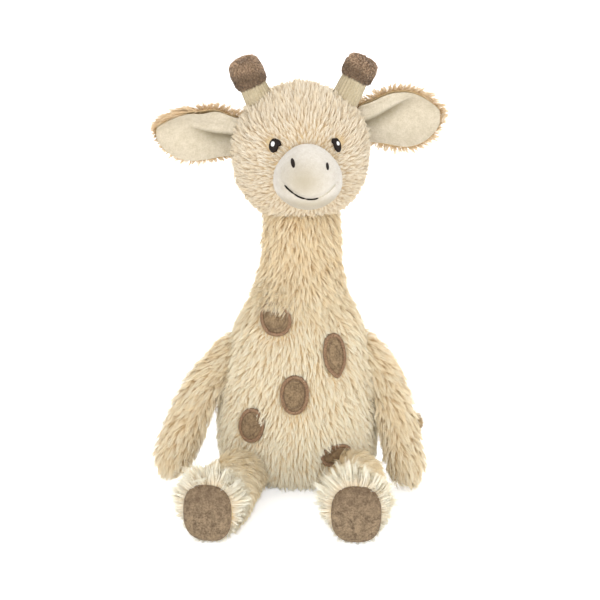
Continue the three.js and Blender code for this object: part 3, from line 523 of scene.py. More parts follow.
# Where long pile hangs over a patch's edge: centre across and up, half width and half height, and how fully.
for across, up, half_wide, half_high, full in ((-14.5, 129.2, 11.5, 5.0, 1.0), (-22.6, 58.0, 3.2, 4.4, 0.75),
                                               (14.0, 35.6, 4.2, 2.8, 0.75)):
    reach = np.hypot((torso_points[:, 0] - across) / half_wide, (torso_points[:, 2] - up) / half_high)
    overhang = np.maximum(overhang, np.where(torso_points[:, 1] < 0, full * eased(reach, 1.2, 0.9), 0))
torso_cover = np.maximum(torso_cover, overhang)
# The pile's tone is lighter low on the body, painted fill light where the legs and arms shade the belly, and
# darker towards the shoulders.
torso_tone = 0.76 + 0.14 * eased(torso_points[:, 2], 75, 25) - 0.16 * eased(torso_points[:, 2], 100, 130)
torso_length = np.maximum(4.0 + 4.0 * clear_of_patches(1.05, 1.5), 10.0 * overhang)
front_half = (torso_points[:, 1] < 0).astype(float)
torso_piles = []
for word, half, rise, seed in (("front", front_half, 0.54 + 0.46 * overhang, 21),
                               ("back", 1 - front_half, 0.52, 22)):
    combed(torso, torso_comb, torso_length, rise, torso_tone, torso_cover * half)
    torso_piles.append(pile_on(torso, f"torso_pile_{word}", cream_pile, seed))
belongs((torso, *torso_piles), "torso", "torso_cover")
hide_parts("torso_filling", "bean_bag")


# The patches: ovals of grey-brown velour laid on the torso, each edged with a raised band of satin stitch in
# brown-rose thread and held by one more line of small running stitches inside the band.
def velour_finish(name, light, deep, sheen=0.25, grain=900.0, painted_shade_and_tint=None):
    """Short shorn velour: a fine nap with a soft sheen, and a second colour where marked: painted shade, and
    on the muzzle also a tint.
    """
    material, tree, shader = bare_finish(name, 0.85)
    nap = speckle(tree, grain, 3.0, 0.7)
    both = wired(tree, "ShaderNodeMix", {0: 0.55, 2: speckle(tree, 260.0, 4.0, 0.65), 3: nap},
                 data_type="FLOAT").outputs[0]
    shade = wired(tree, "ShaderNodeMapRange", {0: both, 1: 0.36, 2: 0.64}).outputs[0]
    colour = blended(tree, shade, dyed(*deep), dyed(*light))
    if painted_shade_and_tint:
        share = wired(tree, "ShaderNodeAttribute", attribute_name="painted_shade_and_tint").outputs["Fac"]
        colour = blended(tree, share, colour, dyed(*painted_shade_and_tint))
    tree.links.new(colour, shader.inputs["Base Color"])
    embossed(tree, shader, nap, 0.7, 0.0006)
    shader.inputs["Sheen Weight"].default_value = sheen
    shader.inputs["Sheen Roughness"].default_value = 0.4
    return material


def thread_finish(name, light, deep, roughness=0.5, shine=0.5):
    """Rayon embroidery thread: fine lines of light and shade."""
    material, tree, shader = bare_finish(name, roughness)
    shade = wired(tree, "ShaderNodeMapRange", {0: speckle(tree, 1400.0, 2.0), 1: 0.35, 2: 0.65}).outputs[0]
    tree.links.new(blended(tree, shade, dyed(*deep), dyed(*light)), shader.inputs["Base Color"])
    shader.inputs["Specular IOR Level"].default_value = shine
    return material


def stitch_tree():
    """Stitches: one rounded length of thread laid at every marked point, along its given direction."""
    tree = bpy.data.node_groups.new("stitches", "GeometryNodeTree")
    tree.interface.new_socket("Marks", in_out="INPUT", socket_type="NodeSocketGeometry")
    for name in ("Stitch Length", "Thread Width", "Thread Height"):
        tree.interface.new_socket(name, in_out="INPUT", socket_type="NodeSocketFloat")
    tree.interface.new_socket("Thread", in_out="INPUT", socket_type="NodeSocketMaterial")
    tree.interface.new_socket("Stitches", in_out="OUTPUT", socket_type="NodeSocketGeometry")
    given = tree.nodes.new("NodeGroupInput").outputs
    direction, outward = (
        wired(tree, "GeometryNodeInputNamedAttribute", {0: name}, data_type="FLOAT_VECTOR").outputs[0]
        for name in ("laid", "outward"))
    turn = wired(tree, "FunctionNodeAlignRotationToVector", {2: direction}, axis="X").outputs[0]
    turn = wired(tree, "FunctionNodeAlignRotationToVector", {0: turn, 2: outward}, axis="Z",
                 pivot_axis="X").outputs[0]
    size = wired(tree, "ShaderNodeCombineXYZ", {0: given[1], 1: given[2], 2: given[3]}).outputs[0]
    thread = wired(tree, "GeometryNodeMeshUVSphere", {0: 6, 1: 5, 2: 0.5}).outputs[0]
    laid = wired(tree, "GeometryNodeInstanceOnPoints", {0: given[0], 2: thread, 5: turn, 6: size}).outputs[0]
    laid = wired(tree, "GeometryNodeRealizeInstances", {0: laid}).outputs[0]
    laid = wired(tree, "GeometryNodeSetMaterial", {0: laid, 2: given[4]}).outputs[0]
    tree.links.new(laid, tree.nodes.new("NodeGroupOutput").inputs[0])
    return tree


stitches = stitch_tree()


def stitched(name, points, directions, outward, length, width, height, thread):
    """Stitches at the given points, in millimetres, as one plain piece."""
    mesh = bpy.data.meshes.new(name)
    mesh.from_pydata([tuple(p * MM) for p in points], [], [])
    for layer, values in (("laid", directions), ("outward", outward)):
        mesh.attributes.new(layer, "FLOAT_VECTOR", "POINT").data.foreach_set(
            "vector", np.asarray(values, np.float32).ravel())
    obj = in_scene(name, mesh)
    fed(obj.modifiers.new("stitches", "NODES"), stitches, {
        "Stitch Length": length * MM, "Thread Width": width * MM, "Thread Height": height * MM,
        "Thread": thread})
    made_plain(obj)
    obj.data.polygons.foreach_set("use_smooth", [True] * len(obj.data.polygons))
    return obj


def over(surface, start, direction, lift):
    """The point of a surface that a ray meets, lifted off it, and the outward direction there."""
    spot, outward, _, _ = surface.ray_cast(Vector(start) * MM, Vector(direction))
    if outward.dot(Vector(direction)) > 0:
        outward = -outward
    return np.array(spot) / MM + np.array(outward) * lift, np.array(outward)


def on_torso(across, up, facing, lift):
    """The point of the torso behind a place on its front or back, lifted off it, and the outward direction."""
    return over(torso_surface, (across, 200 * facing, up), (0, -facing, 0), lift)


def run_of(points):
    """How far along a line of points each one lies."""
    return np.concatenate([[0], np.cumsum(np.linalg.norm(np.diff(points, axis=0), axis=1))])


def along_run(at, run, values):
    """What a line's points or directions come to at distances along it."""
    return np.stack([np.interp(at, run, values[:, k]) for k in range(3)], axis=1)


def outline_at(patch, angle, share):
    """A point of the patch's outline, drawn in or out by a share."""
    middle_across, middle_up, half_wide, half_high, tilt, _ = patch
    turn = math.radians(tilt)
    reach = share * edge_share(patch, angle)
    a, b = half_wide * reach * math.cos(angle), half_high * reach * math.sin(angle)
    return (middle_across + a * math.cos(turn) - b * math.sin(turn),
            middle_up + a * math.sin(turn) + b * math.cos(turn))


def oval_piece(name, top, bottom, around, finish):
    """A closed piece between two ovals of points, each a middle with rings of as many points round it."""
    base, rim = len(top), len(top) - around
    faces = []
    for first in (0, base):
        faces += [(first, first + 1 + i, first + 1 + (i + 1) % around) for i in range(around)]
        for ring in range(first + 1, first + rim, around):
            faces += ring_faces(ring, ring + around, around)
    faces += ring_faces(rim, base + rim, around)
    return smooth_piece(name, np.array(top + bottom) * MM, faces, finish, 0)


brown_velour = velour_finish("brown_velour", (165, 139, 105), (88, 68, 46))
rose_thread = thread_finish("rose_thread", (170, 136, 104), (112, 84, 60))
umber_thread = thread_finish("umber_thread", (134, 108, 82), (106, 82, 60))
patch_lift, patch_crown, patch_depth = 3.1, 0.4, 1.4


def patch_piece(name, patch, facing):
    """A slightly crowned oval of velour that follows the torso, with a closed underside."""
    around, rows = 56, (0.25, 0.5, 0.72, 0.88, 0.97, 1.0)
    spots = [(0.0, patch[:2])]
    spots += [(share, outline_at(patch, 2 * math.pi * i / around, share))
              for share in rows for i in range(around)]
    top = [on_torso(*spot, facing, patch_lift + patch_crown * (1 - share ** 4))[0] for share, spot in spots]
    bottom = [on_torso(*spot, facing, patch_lift - patch_depth)[0] for share, spot in spots]
    return oval_piece(name, top, bottom, around, brown_velour)


def patch_stitching(name, patch, facing):
    """The satin band over the patch's edge, and the running line inside it."""
    steps, seam_share, line_share = 240, 0.905, 0.76
    seam = [on_torso(*outline_at(patch, 2 * math.pi * i / steps, seam_share), facing, patch_lift + 0.75)
            for i in range(steps + 1)]
    course, outs = (np.array(column) for column in zip(*seam))
    run = run_of(course)
    pieces = []
    for word, pitch, length, width, height, thread in (("band", 0.42, 3.1, 0.55, 0.9, rose_thread),
                                                       ("line", 1.4, 1.5, 0.4, 0.4, umber_thread)):
        at = np.linspace(0, run[-1], int(run[-1] / pitch), endpoint=False)
        spots, out = along_run(at, run, course), unit(along_run(at, run, outs))
        if word == "line":
            middle, _ = on_torso(*patch[:2], facing, patch_lift)
            drawn = middle + (spots - middle) * line_share
            spots = np.array([on_torso(p[0], p[2], facing, patch_lift + 0.5)[0] for p in drawn])
        ahead = unit(np.roll(spots, -1, axis=0) - np.roll(spots, 1, axis=0))
        laid = ahead if word == "line" else unit(np.cross(ahead, out) + 0.22 * ahead)
        pieces.append(stitched(f"{name}_{word}", spots, laid, out, length, width, height, thread))
    return pieces


for facing, word, patches in patch_sets:
    for number, patch in enumerate(patches, 1):
        node = f"{word}_patch_{number}"
        cloth = patch_piece(f"{node}_velour", patch, facing)
        belongs((cloth, *patch_stitching(node, patch, facing)), "torso", node)


# The neck: a long stuffed plush tube. Its foot spreads into the torso's shoulders and its pile lies down over
# the seam, so that there is no visible joint.
neck_rows = [
    (118, 29.0), (121, 32.0), (127, 31.6), (133, 30.2), (139, 28.9), (146, 27.3), (154, 26.2), (164, 25.5),
    (174, 25.2), (182, 24.8), (189, 22.5), (193, 15.0),
]
neck = closed_skin("neck_backing", [
    ring_about((1.2 * eased(up, 125, 160), 0, up), SIDEWAYS, FORTH, radius - skin_depth,
               radius * 1.03 - skin_depth) for up, radius in neck_rows], cream_backing)
neck_points, _ = skin_points(neck)
neck_heights = neck_points[:, 2]
neck_comb = np.stack([neck_points[:, 0] / 45, neck_points[:, 1] / 150, -np.ones(len(neck_points))], axis=1)
combed(neck, neck_comb, 8.2, 0.6, 0.44 + 0.14 * eased(neck_heights, 158, 125),
       eased(neck_heights, 119, 124) * eased(neck_heights, 192, 187))
neck_pile = pile_on(neck, "neck_pile", cream_pile, 31)
for piece in (neck, neck_pile):
    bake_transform(piece)
    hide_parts("neck_cover")
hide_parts("neck_filling")


# The head: a round stuffed ball of the same plush. Its pile is brushed away from the muzzle, up over the
# forehead and out over the cheeks, and hangs down behind.
head_base, head_height, head_half_width, head_half_depth, head_forward = 183.6, 86.6, 45.5, 42.0, 6.0
head_foot, head_span = head_base + skin_depth * 0.7, head_height - skin_depth * 1.35
muzzle_forward, muzzle_height = 55, 217.5
eye_out, eye_height = 18.8, 234.3
face_turn = math.radians(5)
# Height, half width and half depth as shares of the head's, from the chin to the crown.
head_rows = [
    (0.000, 0.42, 0.40), (0.028, 0.63, 0.58), (0.100, 0.78, 0.745), (0.190, 0.885, 0.86),
    (0.290, 0.96, 0.945), (0.410, 0.995, 0.99), (0.540, 0.997, 0.998), (0.660, 0.95, 0.955),
    (0.770, 0.855, 0.865), (0.860, 0.705, 0.72), (0.935, 0.495, 0.51), (0.982, 0.265, 0.27),
    (1.000, 0.090, 0.09),
]


def turned_face(points):
    """Points of the head made facing straight ahead, turned with the face."""
    points = np.atleast_2d(np.asarray(points, float))
    c, s = math.cos(face_turn), math.sin(face_turn)
    return np.stack([points[:, 0] * c - points[:, 1] * s, points[:, 0] * s + points[:, 1] * c, points[:, 2]],
                    axis=1)


ahead_of_face = turned_face((0, -1, 0))[0]


def on_face(surface, across, up, lift):
    """The point of a piece of the head behind a place before the face, lifted off it."""
    return over(surface, turned_face((across, -150, up))[0], -ahead_of_face, lift)[0]


head = closed_skin("head_backing", [
    turned_face(ring_about((0, -head_forward, head_foot + up * head_span), SIDEWAYS, FORTH,
                           max(wide * head_half_width - skin_depth, 1.2),
                           max(deep * head_half_depth - skin_depth, 1.2), 32))
    for up, wide, deep in head_rows], cream_backing)
head_points, _ = skin_points(head)
head_surface = surface_of(head)
from_muzzle = head_points - turned_face((0, -muzzle_forward, muzzle_height))[0]
from_muzzle -= np.outer(from_muzzle @ ahead_of_face, ahead_of_face)
face_distance = np.linalg.norm(from_muzzle, axis=1)
facing_share = eased(head_points @ ahead_of_face, -20, 25)[:, None]
in_front = head_points @ ahead_of_face > 20
head_comb = unit(from_muzzle) * facing_share + (1 - facing_share) * np.array([0, 0.35, -1.0])
head_cover = np.where(in_front, eased(face_distance, 15.0, 17.0), 1) * eased(head_points[:, 2], 184, 188)
for side in (-1, 1):
    away = head_points - on_face(head_surface, side * eye_out, eye_height, 3.2)
    away -= np.outer(away @ ahead_of_face, ahead_of_face)
    away[:, 2] *= 0.85
    head_cover *= np.where(in_front, eased(np.linalg.norm(away, axis=1), 3.4, 4.6), 1)
head_length = 4.2 + 3.8 * np.where(in_front, eased(face_distance, 20, 42), 1)
# The pile's tone is a little lighter near the muzzle and darker on the lower part of the head: painted shade
# on the jaw and lower cheeks.
head_tone = (0.32 + 0.1 * np.where(in_front, eased(face_distance, 45, 22), 0)
             - 0.14 * eased(head_points[:, 2], 222, 195))
head_front = (head_points @ ahead_of_face > 0).astype(float)
face_pile = pile_finish("face_pile", ((203, 174, 130), (240, 221, 189)), ((244, 226, 193), (253, 250, 240)))
finer = {"strands": 2.8, "width": 0.36, "tousle": 0.22, "swirl": 0.3}
head_piles = []
for word, half, seed, choices in (("front", head_front, 41, finer), ("back", 1 - head_front, 42, {})):
    combed(head, head_comb, head_length, 0.4, head_tone, head_cover * half)
    head_piles.append(pile_on(head, f"head_pile_{word}", face_pile, seed, **choices))
belongs((head, *head_piles), "head", "head_cover")
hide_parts("head_filling")


# The muzzle: a soft round nose of pale shorn velour, sewn into the face and lightly stuffed. The nostrils and
# the smile are embroidered through it, which draws it in a little.
# The last colour marks a warm tint in the muzzle's middle and painted shade low on it.
pale_velour = velour_finish("pale_velour", (236, 230, 220), (217, 208, 194), 0.2, 1100.0, (178, 165, 138))
smile_half_width, smile_corner, smile_sag = 15.5, 215.5, 8.0


def smile_height(across):
    """The height of the smile at a distance across the face."""
    return smile_corner - smile_sag * (1 - (across / smile_half_width) ** 2)


muzzle_half_depth, muzzle_half_width, muzzle_half_height = 25, 21.5, 20.5
muzzle_rows, muzzle_around = 13, 32
muzzle_rings = []
for angle in math.pi * np.arange(1, muzzle_rows) / muzzle_rows:
    centre = (0, -muzzle_forward - muzzle_half_depth * math.cos(angle), muzzle_height)
    muzzle_rings.append(ring_about(centre, SIDEWAYS, UPWARD, muzzle_half_width * math.sin(angle),
                                   muzzle_half_height * math.sin(angle), muzzle_around))
muzzle = closed_skin("muzzle_velour", muzzle_rings, pale_velour)
points, outward = skin_points(muzzle)
above = points[:, 2] - muzzle_height
points[:, 0] *= 1 - 0.13 * eased(above, 0, 20) + 0.05 * eased(above, 2, -9) - 0.02 * eased(above, -9, -20)
front = eased(points[:, 1], -60, -68)


def bulge(across, up, half_wide, half_high, values=None):
    """A soft rise on the muzzle's front about a place, seen from the front."""
    sideways = points[:, 0] if values is None else values
    return np.exp(-(((sideways - across) / half_wide) ** 2 + ((points[:, 2] - up) / half_high) ** 2)) * front


from_smile = np.abs(points[:, 2] - smile_height(points[:, 0])) * np.where(np.abs(points[:, 0]) < 17, 1, 0.6)
past_corner = np.maximum(np.abs(points[:, 0]) - 17.5, 0)
groove = np.exp(-(np.hypot(from_smile, past_corner) / 1.5) ** 2) * front
points -= outward * (1.3 * groove)[:, None]
cheeks = bulge(13, 222, 6, 6, np.abs(points[:, 0]))
lip = bulge(0, 203.5, 10, 3.5)
points += outward * (0.7 * cheeks + 0.6 * lip)[:, None]
nostril_out = 10.4
for side in (-1, 1):
    points -= outward * (0.8 * bulge(side * nostril_out, 228.5, 2.2, 3.6))[:, None]
# Marked for the second colour: a warm tint across the muzzle's middle, and painted shade on its lower part
# where it turns under.
painted_shade_and_tint = np.maximum(0.84 * bulge(-5, 219, 14, 11.5),
                    0.8 * eased(points[:, 2], 213, 203) * eased(points[:, 1], -50, -64))
marked(muzzle, "painted_shade_and_tint", 0.95 * painted_shade_and_tint)
muzzle.data.vertices.foreach_set("co", (turned_face(points) * MM).ravel())
muzzle.data.update()
muzzle_surface = surface_of(muzzle)
belongs((muzzle,), "head", "muzzle_cover")
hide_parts("muzzle_filling")


def embroidered_oval(name, surface, middle, half_wide, half_high, lift, height, finish, tilt):
    """A filled oval of satin stitch that follows a surface of the head, seen from the front."""
    around, rows = 28, (0.35, 0.65, 0.87, 1.0)
    top, bottom = [on_face(surface, *middle, lift + height)], [on_face(surface, *middle, lift - 0.6)]
    for share in rows:
        for angle in 2 * math.pi * np.arange(around) / around:
            a, b = half_wide * share * math.cos(angle), half_high * share * math.sin(angle)
            across = middle[0] + a * math.cos(tilt) - b * math.sin(tilt)
            up = middle[1] + a * math.sin(tilt) + b * math.cos(tilt)
            top.append(on_face(surface, across, up, lift + height * math.sqrt(1 - share ** 2.6)))
            bottom.append(on_face(surface, across, up, lift - 0.6))
    return oval_piece(name, top, bottom, around, finish)


def thread_run(name, points, radius, finish):
    """One length of thread through the given points, in millimetres, with rounded ends."""
    points = np.asarray(points, float)
    run = run_of(points)
    course = along_run(np.linspace(0, run[-1], max(12, int(run[-1] / 0.45))), run, points)
    rings = []
    for n, (spot, way) in enumerate(zip(course, unit(np.gradient(course, axis=0)))):
        side = unit(np.cross(way, (0.1, 0.2, 1.0)))
        up = np.cross(side, way)
        along = n / (len(course) - 1)
        ending = 0.45 if along in (0, 1) else 1 - 0.45 * max(math.cos(along * 6 * math.pi) - 0.6, 0) / 0.4
        rings.append(ring_about(spot, side, up, radius * ending, radius * ending, 10))
    return closed_skin(name, rings, finish, 0)


dark_thread = thread_finish("dark_thread", (36, 23, 15), (14, 8, 5), 0.6, 0.2)
# A pale grey run laid in the smile's groove past its pinch: painted shade of the crease.
painted_crease_shade = thread_finish("painted_crease_shade", (206, 198, 178), (182, 172, 150), 0.7)
white_thread = thread_finish("white_thread", (253, 252, 250), (240, 238, 234), 0.45)
# Across and up from the eye's middle, half width and half height, tilt, lift and crown of each oval.
eye_shapes = {
    "right": ((0.1, 0.1, 2.7, 4.2, -0.2, 3.0, 1.2), (2.5, 1.9, 1.5, 2.2, 0.55, 2.9, 0.9),
              (-0.1, 1.0, 1.05, 1.5, -0.25, 4.1, 0.4)),
    "left": ((-0.3, -0.2, 2.2, 4.3, 0.3, 3.0, 1.2), (-1.9, 2.0, 1.6, 2.2, 0.6, 2.9, 0.9),
             (-0.5, 0.8, 0.8, 1.3, 0.35, 4.1, 0.4)),
}
nostril_shapes = {"right": (228.9, 1.2, 2.4), "left": (227.0, 0.95, 2.0)}
for side, word in ((-1, "right"), (1, "left")):
    for place, shape in zip(("satin", "lobe", "glint"), eye_shapes[word]):
        across, up, wide, high, tilt, lift, crown = shape
        finish, node, slot = ((white_thread, f"eye_glint_{word}", "white_thread") if place == "glint"
                              else (dark_thread, f"eye_{word}", "dark_thread"))
        middle = (side * eye_out + across, eye_height + up)
        piece = embroidered_oval(f"eye_{word}_{place}", head_surface, middle, wide, high, lift, crown, finish,
                                 tilt)
        belongs((piece,), "head", node)
    height, wide, high = nostril_shapes[word]
    nostril = embroidered_oval(f"nostril_{word}_satin", muzzle_surface, (side * nostril_out, height), wide,
                               high, 0.0, 0.6, dark_thread, 0.06)
    belongs((nostril,), "head", f"nostril_{word}")
# Past the pinch the smile's groove carries a pale grey run, which is painted shade of the crease.
smile_pinch = 4.6
for name, start, end, radius, lift, finish, slot in (
        ("mouth_satin", -smile_half_width, smile_pinch, 0.55, 0.25, dark_thread, "dark_thread"),
        ("mouth_crease_shade", smile_pinch, smile_half_width, 0.4, -0.1, painted_crease_shade, "pale_velour")):
    smile = [on_face(muzzle_surface, across, smile_height(across), lift)
             for across in np.linspace(start, end, 25)]
    belongs((thread_run(name, smile, radius, finish),), "head", "mouth_thread")


# The horns: stuffed stems of tan velour, each topped by a gathered ball of brown velour with a short thick
# nap.
horn_velour = velour_finish("horn_velour", (204, 190, 160), (178, 162, 130), 0.2, 1000.0)
tip_velour = velour_finish("tip_velour", (146, 120, 92), (96, 75, 54), 0.3, 800.0)
nap_pile = pile_finish("nap_pile", ((80, 62, 45), (140, 114, 88)), ((122, 98, 74), (224, 190, 156)), 0.3)
# The stem's places along itself, its radii and how deeply it is ribbed; then the tip's, as shares of its
# height and radius.
stem_rows = ((-27, 7.4, 0), (-22, 9.0, 0), (-17, 9.1, 0.03), (-12, 8.9, 0.05), (-7, 8.7, 0.05),
             (-2.5, 8.6, 0.05), (0.5, 8.3, 0.04), (3.5, 7.2, 0), (5.5, 4.0, 0))
tip_rows = ((0.10, 0.50), (0.01, 0.74), (0.01, 0.88), (0.07, 0.98), (0.28, 1.03), (0.56, 1.03), (0.78, 0.98),
            (0.93, 0.82), (1.0, 0.5), (1.01, 0.2))
tip_radius = 9.9
for side, word, lean, offset, under, high in ((-1, "right", 24, 22.8, 19.0, 18.3),
                                              (1, "left", 26.5, 24.2, 23.2, 14.9)):
    base = turned_face((side * offset, -6, 250))[0]
    way = turned_face((side * math.sin(math.radians(lean)), 0, math.cos(math.radians(lean))))[0]
    across = unit(np.cross(way, FORTH))
    forth = np.cross(way, across)

    def horn_ring(up, radius, ribs=0.0, count=32):
        """One ring round the horn, at a distance along it."""
        middle = base + way * up
        wave = 1 + ribs * np.sin(np.arange(count) * math.pi / 2)
        return middle + (ring_about(middle, across, forth, radius, radius, count) - middle) * wave[:, None]

    stem = closed_skin(f"horn_stem_{word}_velour",
                       [horn_ring(under + up, radius, ribs, 96) for up, radius, ribs in stem_rows],
                       horn_velour, 1)
    belongs((stem,), "head", f"horn_stem_{word}")
    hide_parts(f"horn_filling_{word}")
    tip = closed_skin(f"horn_tip_{word}_velour",
                      [horn_ring(under + 0.4 + up * high, share * tip_radius) for up, share in tip_rows],
                      tip_velour, 1)
    tip_points, tip_out = skin_points(tip)
    tip_points -= base
    # Painted highlight: the nap is dyed lighter over the tip's top and in a slanted band round its upper part.
    crown = eased(tip_points @ way, under + high * 0.4, under + high * 0.85) * eased(tip_points @ forth, -9, 2)
    outer = np.exp(-((tip_points @ way - under - high * 0.72 - 0.45 * (tip_points @ across)) / 2.4) ** 2)
    combed(tip, 0.3 * tip_out - way, 1.5, 0.7, 0.14 + 0.8 * np.maximum(crown, outer), 1.0)
    nap = pile_on(tip, f"horn_tip_{word}_nap", nap_pile, 50 + side, strands=9.0, spacing=0.8, width=0.2,
                  pull=0.4, tousle=1.2, swirl=1.2)
    belongs((tip, nap), "head", f"horn_tip_{word}")


# The ears: open leaves of plush behind, lined in front with pale velour and sewn on the turn, so that the long
# pile of the back stands as a fringe all round the rim. A tuck at the root folds each one into a cup.
ear_length, ear_half_width, ear_cup = 55.5, 18.8, 11.0
# Place along the ear, half width and depth of the cup, as shares of the ear's sizes.
ear_rows = np.array([
    (0.00, 0.56, 0.40), (0.10, 0.60, 0.46), (0.20, 0.65, 0.60), (0.30, 0.76, 0.78), (0.42, 0.92, 0.96),
    (0.55, 1.00, 1.00), (0.66, 0.98, 0.93), (0.77, 0.88, 0.76), (0.86, 0.71, 0.56), (0.93, 0.50, 0.36),
    (0.975, 0.30, 0.20), (1.00, 0.10, 0.08),
])
# The last colour is the painted shade in the hollow under each fold.
ear_velour = velour_finish("ear_velour", (225, 214, 194), (198, 186, 160), 0.2, 1100.0, (124, 112, 82))
ear_pile = pile_finish("ear_pile", ((198, 162, 116), (240, 214, 168)), ((236, 208, 166), (255, 244, 218)))
ear_shares = np.sin(np.linspace(-1, 1, 15) * math.pi / 2)
lining_shares = np.linspace(-1, 1, 49)
back_rows = (0.02, 0.1, 0.2, 0.28, 0.36, 0.44, 0.52, 0.6, 0.68, 0.76, 0.83, 0.89, 0.94, 0.975, 0.995)
lining_rows = (0.0, 0.05, 0.1, 0.15, 0.2, 0.25, 0.3, 0.35, 0.4, 0.45, 0.5, 0.55, 0.6, 0.65, 0.7, 0.75, 0.8,
               0.85, 0.9, 0.94, 0.968, 0.985)
lining_width_share, lining_front, lining_thick, back_front, back_thick = 0.965, -2.6, 1.7, -0.6, 2.6


def ear_spot(along, share, back, fold, folded=0.0):
    """A point of the ear's leaf before it is placed: along it, across it and behind its front."""
    wide, deep = (np.interp(along, ear_rows[:, 0], ear_rows[:, k]) for k in (1, 2))
    twist, roll_height, roll_from, roll_climb, roll_end = fold
    past = share - roll_from - roll_climb * along
    strength = folded * eased(along, roll_end, roll_end * 0.4)
    y = deep * ear_cup * (1 - share ** 2) - deep * ear_cup / 2 + back
    y -= strength * roll_height * eased(past, -0.05, 0.09) * (1 - 0.7 * eased(share, 0.6, 1.0))
    if share > 0:
        wide *= 1 + 0.16 * math.exp(-((along - 0.3) / 0.2) ** 2) - 0.2 * eased(along, 0.6, 0.95)
    else:
        wide *= 1 + 0.25 * eased(along, 0.45, 0.1)
    z = share * wide * ear_half_width - strength * 2.4 * math.exp(-((past - 0.09) / 0.1) ** 2)
    roll = twist * eased(along, 0.2, 0.5)
    return np.array([along * ear_length, y * math.cos(roll) - z * math.sin(roll),
                     y * math.sin(roll) + z * math.cos(roll)])


# Each fold's twist, height, place across, climb along the ear and end; then each fringe: how much of it shows
# above, its length below, how much longer it is above, how much shorter at the tip and how dark above.
ear_folds = {"right": (math.radians(24), 6.0, 0.1, 0.0, 0.7), "left": (math.radians(4), 7.0, -0.02, 1.2, 0.8)}
ear_fringes = {"right": (0.14, 5.5, 3.5, 0.35, 0.32), "left": (0.03, 7.5, 1.5, 0.1, 0.128)}
for side, word, rise, root, seed in ((-1, "right", 3.5, (-38, 0, 235.6), 61),
                                     (1, "left", 3, (38, 8, 242), 64)):
    fold = ear_folds[word]
    upper_bare, fringe_below, fringe_more, tip_less, fringe_dark = ear_fringes[word]

    def placed(points):
        """Ear points turned up, mirrored for the other side, and set on the head."""
        points = np.atleast_2d(points)
        c, s = math.cos(-math.radians(rise)), math.sin(-math.radians(rise))
        turned = np.stack([points[:, 0] * c + points[:, 2] * s, points[:, 1],
                           -points[:, 0] * s + points[:, 2] * c], axis=1)
        turned[:, 0] *= side
        return turned_face(turned + np.array(root))

    def leaf_ring(along, width_share, front, thick, shares, folded):
        """One ring round the leaf's edge, at a place along the ear."""
        top = 1 - upper_bare * eased(along, 0.3, 1.0) if width_share < 1 else 1
        face, rear = [], []
        for share in shares:
            across = share * width_share * (top if share > 0 else 1)
            edge = thick * (0.4 + 0.6 * (1 - share * share))
            face.append(ear_spot(along, across, front, fold, folded))
            rear.append(ear_spot(along, across, front + edge, fold, folded))
        return placed(np.array(face + rear[::-1]))

    def lining_skin(name, shares, folded):
        """The lining, with its fold or flat."""
        rings = [leaf_ring(along, lining_width_share, lining_front, lining_thick, shares, folded)
                 for along in lining_rows]
        return closed_skin(name, rings, ear_velour, 1)

    back_rings = [leaf_ring(along, 1.0, back_front, back_thick, ear_shares, 0.0) for along in back_rows]
    back = closed_skin(f"ear_back_{word}_plush", back_rings, cream_backing, 1)
    lining = lining_skin(f"ear_lining_{word}_velour", lining_shares, 1.0)
    points, _ = skin_points(lining)
    # Painted shade in the hollow under the fold: the lining is darkened along the fold's line, mostly below
    # it.
    painted_shade_and_tint = np.zeros(len(points))
    _, _, roll_from, roll_climb, roll_end = fold
    for along in np.linspace(0.0, roll_end, 40):
        share = roll_from + roll_climb * along - 0.1
        if share < 0.9:
            below = points - placed(ear_spot(along, share, lining_front, fold, 1.0))[0]
            near = np.hypot(below[:, 0] / 2.5, np.where(below[:, 2] < 0, below[:, 2] / 6.5, below[:, 2] / 1.6))
            painted_shade_and_tint = np.maximum(painted_shade_and_tint, eased(along, roll_end, roll_end * 0.4) * np.exp(-near ** 2))
    marked(lining, "painted_shade_and_tint", 0.8 * painted_shade_and_tint)
    flat = lining_skin("flat_lining", ear_shares, 0.0)
    lining_surface = surface_of(flat)
    bpy.data.objects.remove(flat)
    points, outward = skin_points(back)
    start, tip_end, above_start, behind_start = placed([(0, 0, 0), (ear_length, 0, 0), (0, 0, 1), (0, 1, 0)])
    upward, backward, lengthwise = unit(above_start - start), unit(behind_start - start), unit(tip_end - start)
    outwards = points - (start * 0.5 + tip_end * 0.5)
    outwards -= np.outer(outwards @ backward, backward)
    reach = points - start
    gone = np.clip(reach @ lengthwise / ear_length, 0, 1)
    half = ear_half_width * np.interp(gone, ear_rows[:, 0], ear_rows[:, 1])
    to_rim = np.maximum(eased(np.abs(reach @ upward) / half, 0.5, 0.95), eased(gone, 0.8, 0.98))[:, None]
    comb = to_rim * 1.3 * unit(outwards) + (1 - 0.6 * to_rim) * lengthwise - 0.25 * to_rim * backward
    to_lining = np.array([lining_surface.find_nearest(Vector(p) * MM)[3] / MM for p in points])
    cover = np.maximum(eased(outward @ backward, -0.3, 0.1), eased(to_lining, 0.9, 1.6))
    above = eased(reach @ upward, -9, 7)
    fringe_length = fringe_below + fringe_more * above
    fringe_length *= 1 - tip_less * eased((points - tip_end) @ lengthwise, -9, -1)
    rim_tone = 0.5 - fringe_dark * above
    fringe_tone = rim_tone + (0.72 - rim_tone) * eased(to_lining, 1.2, 6.0)
    combed(back, comb, fringe_length, 0.36, fringe_tone, cover)
    fringe = pile_on(back, f"ear_pile_{word}", ear_pile, seed, strands=3.4, spacing=1.6, lowest=-1000,
                     tousle=0.3)
    belongs((back, fringe), f"ear_{word}", f"ear_back_{word}")
    belongs((lining,), f"ear_{word}", f"ear_lining_{word}")


# The arms: limp plush tubes with a little stuffing, sewn into the torso's sides at the shoulders. They hang
# forward and outward, and end in round furry hands.
shoulder_out, shoulder_height, arm_radius = 43, 88, 13.2
